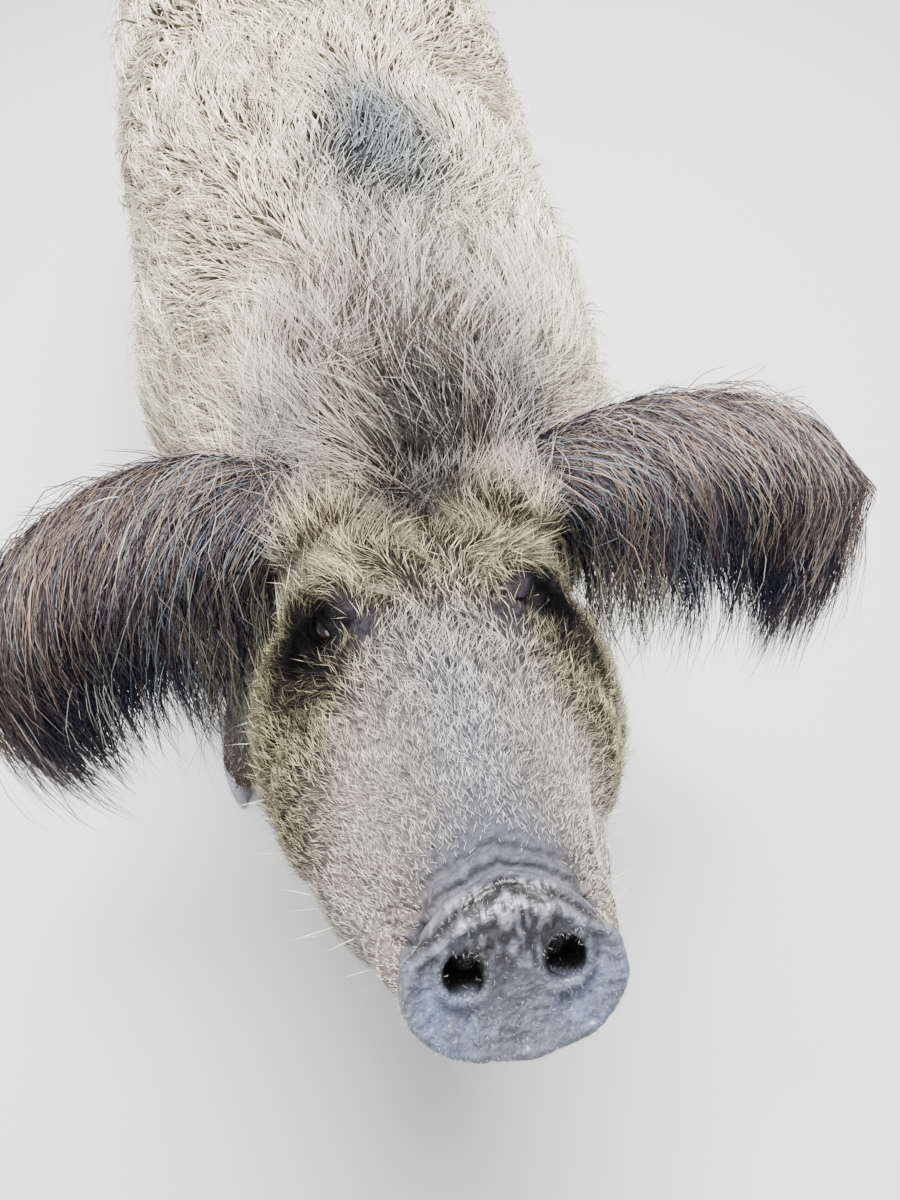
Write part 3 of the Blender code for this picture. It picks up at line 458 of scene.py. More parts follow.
def disc_body():
    """The snout disc: a domed, two-lobed pad with a rolled rim, in front of a ring of folds."""
    rows = ((0.000, 1.0, 0.0), (0.006, 1.0, 0.10), (0.0125, 1.0, 0.75), (0.0165, 1.0, 1.0))
    rows += ((0.0205, 1.0, 1.0), (0.0230, 0.97, 1.0), (0.0243, 0.91, 1.0), (0.0248, 0.74, 1.0))
    turn = np.linspace(-math.pi, math.pi, 96, endpoint=False)
    rings = []
    for out, size, shaped in curve_through(rows, 36):
        centre = SNOUT_AT + DISC_NORMAL * (out - DISC_THICKNESS) - DISC_UP * DISC_LOWERED
        reach = (disc_reach(turn, shaped) * size)[:, None]
        rings.append(centre + reach * (np.cos(turn)[:, None] * LEFT + np.sin(turn)[:, None] * DISC_UP))
    return loft(rings)


def eye_axes(sign):
    """Along the slit, across it, and out of the head."""
    out = unit(LEFT * (0.80 * sign) + UP * 0.42 + FORWARD * 0.42)
    along = unit(FORWARD - out * (FORWARD @ out))
    return along, np.cross(out, along), out


def eye_centre(sign):
    return head_point(EYE_AT[0], sign * EYE_AT[1], EYE_AT[2])


def over_eye(sign):
    """The way across an eye's slit that leads up the head."""
    across = eye_axes(sign)[1]
    return across * (1.0 if across @ UP > 0 else -1.0)


def nostril_body(sign):
    """A slanted well that narrows inwards."""
    lean = unit(DISC_UP + LEFT * 0.22)
    across = unit(LEFT - DISC_UP * 0.22)
    rings = []
    for depth, size in curve_through(NOSTRIL_WELL, 12):
        centre = SNOUT_AT + LEFT * (sign * (NOSTRIL_SIDE - 0.15 * depth)) - DISC_NORMAL * depth
        radius = NOSTRIL_RADIUS * size
        rings.append(oval(centre, across, lean, radius * 1.06, radius * 1.30, radius * 1.30))
    return loft(rings)


def mouth_body(sign, tree):
    """A thin curved wedge that parts the lips along one side of the muzzle."""
    rings = []
    for back, up in curve_through(MOUTH_LINE, 40):
        start = head_point(back, sign * 0.2, up)
        hit, *_ = tree.ray_cast(Vector(start), Vector(LEFT * -sign))
        surface = 0.2 - (hit - Vector(start)).length
        high = MOUTH_HEIGHT / 2.0
        corners = ((-MOUTH_DEPTH, -0.4), (0.010, -2.0), (0.010, 2.0), (-MOUTH_DEPTH, 0.4))
        rings.append(np.array([head_point(back, sign * (surface + d), up + high * h) for d, h in corners]))
    return loft(rings)


HEAD_AXES = (-FORWARD, LEFT, UP)
collar_at = SNOUT_AT - DISC_NORMAL * (DISC_THICKNESS + 0.004) - DISC_UP * DISC_LOWERED
collar = ellipsoid(collar_at, (LEFT, DISC_UP, DISC_NORMAL), COLLAR)
lid_size = [EYE_RADIUS + LID_THICKNESS] * 3
lids = [ellipsoid(eye_centre(sign), eye_axes(sign), lid_size) for sign in (1, -1)]
head_bodies = [skull_body(), disc_body(), collar, *mass_bodies(HEAD_MASSES, head_point, HEAD_AXES)]
ear_bodies = {name: ear_body(name) for name in EARS}
body_masses = mass_bodies(BODY_MASSES, lambda y, x, z: np.array((x, y, z)), (X, Y, Z))
trunk_bodies = [trunk_body(), *body_masses]
leg_bodies = {name: leg_body(name) for name in STANCE}
tail_bodies = [tail_body()]

head_skin = fused([*head_bodies, *lids, *ear_bodies.values(), trunk_body(7)], HEAD_VOXEL)
tree = BVHTree.FromPolygons([v.co for v in head_skin.vertices], [p.vertices for p in head_skin.polygons])
holes = [nostril_body(1), nostril_body(-1), mouth_body(1, tree), mouth_body(-1, tree)]
for sign in (1, -1):
    along, across, out = eye_axes(sign)
    holes.append(ellipsoid(eye_centre(sign), eye_axes(sign), [EYE_RADIUS + EYE_GAP] * 3))
    slit = eye_centre(sign) + out * EYE_RADIUS
    holes.append(ellipsoid(slit, (along, across, out), (*LID_OPENING, 0.009)))
head_skin = without(head_skin, holes)
head_skin = trimmed(head_skin, head_point(HEAD_ENDS, 0, 0), -FORWARD)

body_skin = fused([*head_bodies, *trunk_bodies, *leg_bodies.values(), *tail_bodies], BODY_VOXEL)
body_skin = trimmed(body_skin, head_point(BODY_STARTS, 0, 0), FORWARD)
body_skin = trimmed(body_skin, (0, 0, CORONET - 0.006), (0, 0, -1))


def finer(mesh, near):
    """The mesh with its faces split once where near says so."""

    def split(work):
        middles = np.array([f.calc_center_median() for f in work.faces])
        edges = {e for f, yes in zip(work.faces, near(middles)) if yes for e in f.edges}
        bmesh.ops.subdivide_edges(work, edges=list(edges), cuts=1, use_grid_fill=True)

    return reshaped(mesh, split)


def disc_places(points):
    """Places on the disc: to the pig's left, up and out, and how far outside its outline."""
    rel = points - SNOUT_AT
    a, b, c = rel @ LEFT, rel @ DISC_UP, rel @ DISC_NORMAL
    beyond = np.hypot(a, b + DISC_LOWERED) - disc_reach(np.arctan2(b + DISC_LOWERED, a))
    return a, b, c, beyond


# How far the finely wrinkled skin reaches round the disc, behind it and round each eye
SNOUT_REACH = 0.064
SNOUT_DEPTH = 0.046
EYE_REACH = 0.042


def by_the_disc(points):
    a, b, c, _ = disc_places(points)
    return (np.hypot(a, b) < SNOUT_REACH) & (c > -SNOUT_DEPTH)


def by_an_eye(points):
    far = [np.linalg.norm(points - eye_centre(sign), axis=1) for sign in (1, -1)]
    return np.minimum(*far) < EYE_REACH


head_skin = finer(head_skin, lambda points: by_the_disc(points) | by_an_eye(points))


def arrays(mesh):
    """Points and normals of the mesh, in rows."""
    read = []
    for key in ("co", "normal"):
        values = np.empty(len(mesh.vertices) * 3)
        mesh.vertices.foreach_get(key, values)
        read.append(values.reshape(-1, 3))
    return read


def set_points(mesh, points):
    mesh.vertices.foreach_set("co", np.asarray(points, float).ravel())
    mesh.update()


def smoothed(mesh, chosen, rounds):
    """Chosen points drawn towards the middle of their neighbours."""
    edges = np.empty(len(mesh.edges) * 2, int)
    mesh.edges.foreach_get("vertices", edges)
    a, b = edges.reshape(-1, 2).T
    points, _ = arrays(mesh)
    count = np.bincount(a, minlength=len(points)) + np.bincount(b, minlength=len(points))
    for _ in range(rounds):
        total = np.zeros_like(points)
        for axis in range(3):
            total[:, axis] += np.bincount(a, points[b, axis], len(points))
            total[:, axis] += np.bincount(b, points[a, axis], len(points))
        middle = total / np.maximum(count, 1)[:, None]
        points[chosen] += 0.5 * (middle - points)[chosen]
    set_points(mesh, points)


def bell(x, width):
    return np.exp(-((x / width) ** 2))


def ramp(x, start, end):
    t = np.clip((x - start) / (end - start), 0.0, 1.0)
    return t * t * (3.0 - 2.0 * t)


def clouds(points, size, seed=0.0):
    """Soft noise from about -1 to 1, with lumps of the given size."""
    at = np.asarray(points) / size + seed * 7.31
    return np.array([noise.noise(Vector(p)) for p in at]) * 1.6


points, _ = arrays(head_skin)
a, b, _, _ = disc_places(points)
smoothed(head_skin, by_an_eye(points) | (np.hypot(np.abs(a) - NOSTRIL_SIDE, b) < 0.014), 3)

# The folds of the snout, the lips and the lids
# The disc is gristle under a moist bare skin, with a rolled rim, raised nostrils and a dimpled face.
# Folds gather above it where it moves, and the skin round the eyes lies in fine dark creases.

# Of each ridge and furrow behind the disc's rim: its distance from the rim and its rise
SNOUT_FOLDS = (
    (0.0012, -0.0026), (0.0040, 0.0018), (0.0068, -0.0022), (0.0094, 0.0014),
    (0.0126, -0.0015), (0.0158, 0.0010), (0.0192, -0.0009),
)
# Of the groove over the upper lid, the brow, the two hollows at the slit's ends, the bag under the eye and
# its edge: the rise, the height over the slit, how that climbs towards the snout, its width there, the
# place along the slit and its length
EYE_FOLDS = (
    (-0.0036, 0.0105, 0.06, 0.0030, 0.0000, 0.0200),
    (0.0065, 0.0260, 0.00, 0.0090, -0.0040, 0.0240),
    (-0.0045, 0.0010, 0.00, 0.0090, -0.0220, 0.0070),
    (-0.0028, 0.0020, 0.00, 0.0050, 0.0195, 0.0042),
    (0.0036, -0.0175, 0.00, 0.0060, 0.0020, 0.0200),
    (-0.0020, -0.0235, 0.00, 0.0035, 0.0020, 0.0200),
)

points, normals = arrays(head_skin)
zone = by_the_disc(points)
near_points, near_normals = points[zone], normals[zone]
a, b, c, beyond = disc_places(near_points)
front = ramp(c, -0.006, -0.001) * ramp(-beyond, -0.001, 0.003)
nostril = np.hypot((np.abs(a) - NOSTRIL_SIDE) * 1.1, b * 0.92)
coarse = clouds(near_points, 0.011, 1.0)
fine = clouds(near_points, 0.0034, 2.0)
push = 0.0016 * bell(beyond + 0.0042, 0.0036) * front
push += 0.0014 * bell(nostril - 0.0130, 0.0030) * front
push -= 0.0024 * bell(nostril - 0.0190, 0.0050) * front * ramp(-beyond, 0.004, 0.010) * (np.abs(a) > 0.018)
push += 0.0030 * bell(a, 0.016) * bell(b - 0.014, 0.016) * front
push -= 0.0015 * bell(a, 0.004) * bell(b + 0.028, 0.016) * front
for place, depth in ((-0.0215, 0.0020), (0.0240, 0.0012)):
    push -= depth * bell(a - place - 0.15 * (b + 0.02), 0.0016) * bell(b + 0.026, 0.011) * front
push += (0.0008 * coarse + 0.00045 * fine) * front
grooves = np.sin(a * 1900.0 + 2.2 * coarse) * ramp(b, -0.010, 0.010) * bell(a, 0.030)
push += 0.00035 * grooves * front
behind = ramp(-c, 0.0035, 0.0080) * ramp(b, -0.022, -0.004)
wander = 0.0010 * coarse + 0.0004 * fine
for place, rise in SNOUT_FOLDS:
    push += rise * bell(beyond - place - wander * (place / 0.008), 0.0015) * behind
push -= 0.0060 * bell(np.abs(a) - 0.043, 0.013) * bell(b - 0.022, 0.015) * ramp(-c, 0.003, 0.009)
sides = ramp(-c, 0.006, 0.010) * ramp(-b, -0.006, 0.010)
push -= 0.0018 * bell(c + 0.019 + 0.0012 * coarse, 0.0022) * sides
moved = points.copy()
moved[zone] += near_normals * push[:, None]


def eye_places(points, sign):
    """Places by an eye: along the slit towards the snout, above the slit, and out of the head."""
    along, _, out = eye_axes(sign)
    rel = points - eye_centre(sign)
    return rel @ along, rel @ over_eye(sign), rel @ out


zone = by_an_eye(points)
near_points, near_normals = points[zone], normals[zone]
lumps = clouds(near_points, 0.012, 3.0)
wrinkle = clouds(near_points, 0.0048, 4.0)
push = np.zeros(len(near_points))
for sign in (1, -1):
    u, v, w = eye_places(near_points, sign)
    mine = ramp(w, -0.016, 0.002)
    reach = np.hypot(u * 0.85, v)
    ridges = np.sin(reach / 0.0042 * math.pi + lumps * 1.6)
    fade = ramp(reach, 0.0140, 0.019) * (1.0 - ramp(reach, 0.030, 0.040))
    push += mine * fade * (0.00070 * ridges + 0.0004 * wrinkle)
    push += mine * 0.0008 * bell(np.hypot(u / LID_OPENING[0], v / LID_OPENING[1]) - 1.25, 0.20)
    for rise, height, climb, width, place, length in EYE_FOLDS:
        push += mine * rise * bell(v - height - climb * u, width) * bell(u - place, length)
    pad = bell(v - 0.0175 + 0.10 * u, 0.0060) * ramp(u, -0.026, -0.008) * (1.0 - ramp(u, 0.026, 0.040))
    push += mine * 0.0085 * pad * (1.0 + 0.16 * lumps + 0.14 * wrinkle)
moved[zone] += near_normals * push[:, None]

back, side, up = head_places(points)
on_head = (back < HEAD_ENDS) & (np.abs(side) < 0.15)
soft_folds = clouds(points[on_head], 0.030, 5.0)
lift = np.zeros(len(points))
lift[on_head] = 0.0012 * soft_folds
lift *= ramp(back, 0.05, 0.09)
# The dip of the nape behind the forehead, and the hollow of the cheek under the eye
lift -= 0.010 * bell(back - 0.282, 0.026) * bell(side, 0.034) * (up > 0)
lift -= 0.0085 * bell(back - 0.090, 0.052) * ramp(side, 0.015, 0.055)
lift += 0.0080 * bell(back - 0.125, 0.065) * ramp(-side, 0.020, 0.060) * ramp(-up, -0.030, 0.020)
lift -= 0.004 * bell(back - 0.175, 0.030) * bell(np.abs(side) - 0.085, 0.03) * bell(up - 0.020, 0.02)
moved += normals * lift[:, None]
set_points(head_skin, moved)

points, normals = arrays(body_skin)
x, y, z = points.T
lift = 0.0035 * np.sin(y * 34.0 + np.abs(x) * 18.0) * ramp(-y, -0.02, 0.12) * ramp(z, 0.38, 0.5)
lift -= 0.007 * bell(y - 0.125, 0.040) * ramp(np.abs(x), 0.10, 0.17) * bell(z - 0.42, 0.14)
lift -= 0.008 * bell(y - 0.565, 0.045) * ramp(np.abs(x), 0.09, 0.16) * bell(z - 0.40, 0.16)
lift += 0.0030 * np.sin(y * 60.0) * bell(y - 0.36, 0.10) * ramp(np.abs(x), 0.12, 0.18) * bell(z - 0.45, 0.10)
lift += 0.004 * bell(np.abs(x), 0.030) * ramp(z, 0.60, 0.68)
set_points(body_skin, points + normals * lift[:, None])

# The colours of the skin and of the coat
# One set of markings serves both: ash-blond over the body, grizzled on the nape, a slate patch behind the
# shoulders, straw yellow on forehead and cheeks, near black round the eyes and on the ears. Some of it is
# painted shade: the eye sockets are painted near black, the dip of the nape dark, and the dark round the
# eyes reaches out under the brows and the ear roots. The snout carries painted fold shading, painted shade
# in its nostrils and a painted sheen on its lower sides.


def linear(red, green, blue):
    """A colour given in the usual 0 to 255 steps, as the light that it stands for."""
    return np.array([(v / 255.0) ** 2.2 for v in (red, green, blue)])


def mixed(first, second, share):
    return first + (second - first) * np.asarray(share)[..., None]


# Of each kind of hair: its colour at the root and at the tip
HAIR = {
    "blond": ((104, 97, 82), (247, 240, 214)),
    "warm": ((104, 95, 85), (234, 222, 204)),
    "grizzle": ((33, 32, 34), (190, 186, 177)),
    "slate": ((52, 57, 64), (126, 136, 145)),
    "straw": ((30, 28, 24), (206, 195, 157)),
    "pale_straw": ((30, 29, 27), (236, 229, 210)),
    "frost": ((58, 57, 62), (246, 243, 242)),
    "cream": ((78, 73, 68), (246, 240, 229)),
    "tan": ((62, 52, 42), (196, 178, 150)),
    "curl": ((48, 45, 49), (164, 161, 163)),
    # Soot-dark hair: the lashes' own colour, and painted shade in the dip of the nape
    "soot": ((20, 20, 22), (62, 62, 62)),
    # Dark grey hair round the eyes, partly painted shade
    "eye": ((44, 43, 44), (44, 43, 44)),
    # Near black hair that paints the shade in the eye sockets
    "recess_shade": ((8, 8, 9), (8, 8, 9)),
    "leg": ((64, 59, 55), (150, 142, 128)),
}
HAIR = {kind: (linear(*root), linear(*tip)) for kind, (root, tip) in HAIR.items()}
# Of each marking, in the order in which they cover one another: its hair, the strength of the colour at the
# root and at the tip, and how far it covers
COAT_MARKS = (
    ("warm", "warm", 1.0, 1.0, 1.00),
    ("belly", "leg", 1.0, 1.0, 0.45),
    ("leg", "leg", 1.0, 1.0, 0.90),
    ("mane", "grizzle", 1.5, 1.0, 0.48),
    ("nape", "grizzle", 1.0, 1.0, 0.90),
    ("patch", "slate", 1.0, 1.0, 0.95),
    ("head", "straw", 1.0, 1.0, 1.00),
    ("brow", "pale_straw", 1.0, 1.0, 0.85),
    ("bridge", "frost", 1.0, 1.0, 1.00),
    ("muzzle", "cream", 1.0, 1.0, 1.00),
    ("tan", "tan", 1.0, 1.0, 0.85),
    ("curls", "curl", 1.0, 1.0, 0.90),
    # The dip of the nape between the ears: dark hair as painted shade
    ("crease", "soot", 1.0, 1.0, 0.85),
    ("bare", "frost", 0.7, 0.8, 0.80),
    # Round the eyes: partly the dark hide's own colour, partly painted shade under the brows and the ear
    # roots
    ("eyes", "eye", 0.4, 1.0, 0.92),
    # The eye sockets: painted shade, near black
    ("recess_shade", "recess_shade", 1.0, 1.0, 1.00),
)
ONLY_ON_THE_HEAD = ("bridge", "muzzle", "bare", "brow")
HIDE = linear(84, 78, 72)
HIDE_DARK = linear(38, 38, 41)
HIDE_SNOUT = linear(87, 88, 95)
HIDE_SNOUT_SHEEN = linear(88, 98, 119)
HIDE_SNOUT_DARK = linear(31, 28, 27)
HIDE_SNOUT_LIGHT = linear(124, 125, 131)
HIDE_PINK = linear(128, 120, 114)
HIDE_PAD = linear(50, 49, 53)
HIDE_EAR = linear(30, 28, 32)


def drifting(points):
    """A slow wander from -1 to 1 that keeps the edges of the markings from being drawn with a ruler."""
    first = np.sin(points @ np.array((61.0, 37.0, 23.0)))
    return 0.5 * first + 0.5 * np.sin(points @ np.array((-29.0, 53.0, 71.0)) + 0.8 * first)


def markings(points):
    """How far each place belongs to each marking, from 0 to 1. The eye sockets and the dip of the nape are
    marked as painted shade.
    """
    back, side, up = head_places(points)
    x, y, z = points.T
    wide = np.abs(side)
    drift = drifting(points)
    found = {}
    found["head"] = 1.0 - ramp(back + 0.012 * drift, 0.262, 0.300)
    eyes = np.zeros(len(points))
    pads = np.zeros(len(points))
    recess_shade = np.zeros(len(points))
    for sign in (1, -1):
        u, v, w = eye_places(points, sign)
        near = ramp(w, -0.052, -0.030)
        # The dark round the eye: partly the hide's own colour, partly painted shade reaching under the brow
        # and the ear root
        reach = np.hypot((u + 0.002) / 0.045, (v + 0.019) / 0.037) + 0.16 * drift
        eyes = np.maximum(eyes, near * (1.0 - ramp(reach, 0.60, 1.40)))
        pad = bell(v - 0.0180 + 0.10 * u, 0.0095) * ramp(u, -0.026, -0.008) * (1.0 - ramp(u, 0.032, 0.050))
        pads = np.maximum(pads, near * pad)
        # The socket itself, painted near black as shade
        deep = 1.0 - ramp(np.hypot((u + 0.003) / 0.019, (v + 0.011) / 0.025), 0.70, 1.20)
        recess_shade = np.maximum(recess_shade, near * deep)
    found["eyes"] = eyes
    found["pads"] = pads
    found["recess_shade"] = recess_shade
    found["bridge"] = bell(wide / (0.030 + 0.10 * np.clip(back - 0.10, 0, 1)), 1.25) * ramp(up, 0.0, 0.03)
    found["bridge"] *= 1.0 - ramp(back + 0.006 * drift, 0.140, 0.215)
    towards_cheek = back + 0.050 * ramp(wide, 0.040, 0.085) + 0.014 * drift
    found["muzzle"] = (1.0 - ramp(towards_cheek, 0.100, 0.195)) * (1.0 - found["bridge"])
    found["brow"] = bell(wide, 0.050) * bell(back - 0.185 + 0.008 * drift, 0.050) * ramp(up, 0.02, 0.05)
    found["bare"] = 1.0 - ramp(back + 0.25 * wide + 0.004 * drift, 0.040, 0.076)
    found["bare"] *= ramp(up, 0.006, 0.030) * bell(wide, 0.034)
    found["nape"] = bell(x - 0.014, 0.056) * bell(y + 0.240, 0.090) * ramp(z, 0.48, 0.56)
    found["mane"] = bell(x - 0.012, 0.078) * bell(y + 0.135, 0.090) * ramp(z, 0.48, 0.56)
    found["tan"] = bell(wide - 0.056, 0.020) * bell(back - 0.282, 0.030) * ramp(up, 0.03, 0.07)
    found["curls"] = bell(np.hypot(back - 0.318, wide - 0.088), 0.036) * ramp(up, 0.035, 0.065)
    # The dip of the nape between the ears, painted dark as shade
    found["crease"] = bell(back - 0.285, 0.026) * bell(side - 0.004, 0.038) * ramp(up, 0.02, 0.06)
    spot = np.hypot((x - 0.018) / 0.042, (y + 0.022) / 0.062)
    found["patch"] = (1.0 - ramp(spot + 0.12 * drift, 0.20, 1.75)) * ramp(z, 0.5, 0.6)
    found["warm"] = bell(np.hypot((x + 0.035) / 0.06, (y + 0.16) / 0.05), 1.0) * ramp(z, 0.5, 0.6)
    found["belly"] = 1.0 - ramp(z + 0.01 * drift, 0.285, 0.36)
    found["leg"] = 1.0 - ramp(z + 0.012 * drift, 0.12, 0.26)
    found["drift"] = drift
    return found


def coat_colours(points):
    """Colour of the hair at its root and at its tip, for the place that it covers."""
    m = markings(points)
    root, tip = (np.tile(shade, (len(points), 1)) for shade in HAIR["blond"])
    for mark, hair, root_strength, tip_strength, cover in COAT_MARKS:
        share = m[mark] * cover * (m["head"] if mark in ONLY_ON_THE_HEAD else 1.0)
        root = mixed(root, HAIR[hair][0] * root_strength, share)
        tip = mixed(tip, HAIR[hair][1] * tip_strength, share)
    return root, tip


def skin_colours(points):
    """The hide's colour with the wool that hides it, painted shade and light round the snout and the eyes,
    and how moist it is.
    """
    m = markings(points)
    wool, _ = coat_colours(points)
    a, b, c, beyond = disc_places(points)
    disc = ramp(c, -0.024, -0.012) * (1.0 - ramp(beyond, 0.002, 0.006)) * (np.hypot(a, b) < 0.07)
    near = np.flatnonzero(disc > 0.01)
    flecks = np.zeros(len(points))
    blots = np.zeros(len(points))
    stretched = np.stack((a[near] / 0.0034, b[near] / 0.0090, c[near] / 0.0060), axis=1)
    flecks[near] = clouds(stretched, 1.0, 6.0)
    blots[near] = clouds(points[near], 0.0090, 7.0)
    # The wet lower sides of the disc, where the sky's sheen is painted in
    low = bell(np.hypot((np.abs(a) - 0.034) / 0.020, (b + 0.020) / 0.022), 1.0) * disc
    top = ramp(b + 0.004 * m["drift"], -0.010, 0.008) * disc * bell(a, 0.036)
    middle = bell(a, 0.016) * bell(b + 0.004, 0.018) * disc
    well = np.hypot(np.abs(a) - NOSTRIL_SIDE, b)
    folds = ramp(-c, 0.0060, 0.0110) * (1.0 - ramp(beyond, 0.014, 0.024)) * ramp(b, -0.004, 0.018)
    shade = np.tile(HIDE, (len(points), 1))
    for colour, share in (
        (HIDE_DARK, 0.7 * m["head"]),
        (wool * 0.75, 0.80),
        (HIDE_PINK, 0.75 * m["muzzle"] * m["head"]),
        (HIDE_SNOUT, 0.6 * m["bridge"] * m["head"] * (1.0 - 0.9 * m["brow"])),
        (HIDE_SNOUT * 0.55, 0.95 * m["bare"] * m["head"]),
        # Darker hide on the nape, and painted shade in the dip between the ears
        (HIDE_DARK * 0.8, np.clip(m["nape"] + m["crease"], 0, 1) * 0.8),
        # Dark round the eyes: partly the hide's own colour, partly painted shade
        (HIDE_DARK * 0.30, m["eyes"]),
        (HIDE_PAD, 0.85 * m["pads"]),
        # The eye sockets, painted near black as shade
        (HAIR["recess_shade"][0], m["recess_shade"]),
        (HIDE_SNOUT * (1.0 + 0.14 * blots)[:, None], disc),
        # A painted pale bluish sheen on the lower sides of the disc, over its grey-blue hide
        (HIDE_SNOUT_SHEEN * (1.0 + 0.12 * blots)[:, None], 0.9 * np.clip(low * (1.0 + 0.5 * blots), 0, 1)),
        (HIDE_SNOUT_DARK, 0.95 * top * ramp(flecks, -0.30, 0.25)),
        (HIDE_SNOUT_LIGHT, 0.75 * top * ramp(-flecks, 0.15, 0.6)),
        (HIDE_SNOUT_DARK, 0.6 * middle * ramp(blots, 0.0, 0.5)),
        # A painted shade line in the furrow just behind the rim
        (HIDE_SNOUT_DARK, 0.8 * bell(beyond - 0.0005, 0.0016) * disc),
        # The nostril wells painted near black as shade, fading out over their rims
        (HIDE_SNOUT_DARK * 0.2, (1.0 - ramp(well, 0.0088, 0.0120)) * disc),
        (HIDE_SNOUT * 0.72, 0.85 * folds * bell(a, 0.038) * (b < 0.08) * (c > -0.05)),
    ):
        shade = mixed(shade, colour, share)
    # Painted fold shading: darker in the furrows behind the rim, lighter on the ridges, and a painted
    # highlight along the rim's top
    creases = np.zeros(len(points))
    close = np.flatnonzero((np.hypot(a, b) < 0.08) & (c > -0.05))
    wander = 0.0010 * clouds(points[close], 0.011, 1.0) + 0.0004 * clouds(points[close], 0.0034, 2.0)
    for place, depth in ((0.0010, -0.8), (0.0042, 0.5), (0.0070, -0.6), (0.0096, 0.4), (0.0128, -0.4)):
        creases[close] += depth * bell(beyond[close] - place - wander * (place / 0.008), 0.0013)
    creases += 0.9 * bell(beyond + 0.0030, 0.0020) * (c > -0.012)
    shade = shade * (1.0 + creases * ramp(b, -0.006, 0.010) * bell(a, 0.050))[:, None]
    return np.clip(shade, 0.0, 1.0), disc


def look(name, nodes):
    """A material from its nodes. A setting is a value, or a wire from an earlier node as node.outlet."""
    made = bpy.data.materials.new(name)
    made.use_nodes = True
    tree = made.node_tree
    known = {}
    for label, (kind, settings) in nodes.items():
        node = tree.nodes.new(f"ShaderNode{kind}") if kind else tree.nodes["Principled BSDF"]
        known[label] = node
        for key, value in settings.items():
            if key == "stops":
                stops = node.color_ramp.elements
                for stop, (position, colour) in zip(stops, (value[0], value[-1])):
                    stop.position = position
                    stop.color = (*colour, 1.0)
                for position, colour in value[1:-1]:
                    stops.new(position).color = (*colour, 1.0)
            elif isinstance(key, str) and key not in node.inputs:
                setattr(node, key, value)
            elif isinstance(value, str):
                source, outlet = value.split(".")
                outlet = int(outlet) if outlet.isdigit() else outlet
                tree.links.new(known[source].outputs[outlet], node.inputs[key])
            else:
                node.inputs[key].default_value = value
    return made


# One colour laid over another like a stain, for the nodes that mix them
STAIN = {"data_type": "RGBA", "blend_type": "MULTIPLY", "Factor": 1.0}
hide_stops = ((0.33, (0.42, 0.42, 0.44)), (0.68, (1.30, 1.28, 1.26)))
hide = look(
    "hide",
    {
        "tint": ("Attribute", {"attribute_name": "tint"}),
        "wet": ("Attribute", {"attribute_name": "wet"}),
        "place": ("TexCoord", {}),
        "mottle": ("TexNoise", {"Vector": "place.Object", "Scale": 240.0, "Detail": 8.0, "Roughness": 0.75}),
        "shades": ("ValToRGB", {"Fac": "mottle.Fac", "stops": hide_stops}),
        "stained": ("Mix", {**STAIN, 6: "tint.Color", 7: "shades.Color"}),
        "pores": ("TexVoronoi", {"Vector": "place.Object", "Scale": 420.0}),
        "creases": ("TexNoise", {"Vector": "place.Object", "Scale": 260.0, "Detail": 5.0}),
        "both": ("Math", {"operation": "ADD", 0: "pores.Distance", 1: "creases.Fac"}),
        "bump": ("Bump", {"Height": "both.Value", "Strength": 0.45, "Distance": 0.0012}),
        "shine": ("MapRange", {"Value": "wet.Fac", "To Min": 0.72, "To Max": 0.38}),
        "gloss": ("MapRange", {"Value": "wet.Fac", "To Min": 0.04, "To Max": 0.50}),
        "surface": (
            None,
            {
                "Base Color": "stained.2",
                "Normal": "bump.Normal",
                "Roughness": "shine.Result",
                "Specular IOR Level": "gloss.Result",
            },
        ),
    },
)


def shade_smooth(mesh):
    mesh.polygons.foreach_set("use_smooth", np.ones(len(mesh.polygons), bool))


def add_shades(mesh, name, kind, values):
    """Values kept at the points of the mesh, for its material to read."""
    layer = mesh.attributes.new(name, kind, "POINT")
    if kind == "FLOAT_COLOR":
        values = np.concatenate((values, np.ones((len(values), 1))), axis=1)
        layer.data.foreach_set("color", values.ravel().astype(np.float32))
    else:
        layer.data.foreach_set("value", np.asarray(values, np.float32))


skin_mesh = bpy.data.meshes.new("skin")
reshaped(skin_mesh, lambda work: [work.from_mesh(mesh) for mesh in (head_skin, body_skin)])
shade_smooth(skin_mesh)
skin_points, skin_normals = arrays(skin_mesh)

# Which part of the body each place of the skin belongs to
SOURCES = {"head": head_bodies, "trunk": trunk_bodies, "tail": tail_bodies}
SOURCES.update({f"leg_{name}": [body] for name, body in leg_bodies.items()})
SOURCES.update({f"ear_{name}": [body] for name, body in ear_bodies.items()})
source_names = list(SOURCES)
samples = [(p, k) for k, name in enumerate(source_names) for body in SOURCES[name] for p in body[0]]
nearest = KDTree(len(samples))
for i, (p, _) in enumerate(samples):
    nearest.insert(p, i)
nearest.balance()
skin_part = np.array([samples[nearest.find(p)[1]][1] for p in skin_points.tolist()])

tint, wet = skin_colours(skin_points)
for k, name in enumerate(source_names):
    if name.startswith("ear"):
        tint[skin_part == k] = HIDE_EAR
add_shades(skin_mesh, "tint", "FLOAT_COLOR", tint)
add_shades(skin_mesh, "wet", "FLOAT", wet)
skin_mesh.calc_loop_triangles()
skin_triangles = np.empty(len(skin_mesh.loop_triangles) * 3, int)
skin_mesh.loop_triangles.foreach_get("vertices", skin_triangles)
skin_triangles = skin_triangles.reshape(-1, 3)
skin_tree = BVHTree.FromPolygons(skin_points.tolist(), skin_triangles.tolist())
skin_mesh.materials.append(hide)
skin = new_object("skin", skin_mesh)
skin_mesh.transform(Matrix.Translation(SHIFT))
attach(skin, "root")
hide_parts("head", "neck", "torso", "tail", "snout", "ear_left", "ear_right")
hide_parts(*(f"leg_{name}" for name in STANCE))
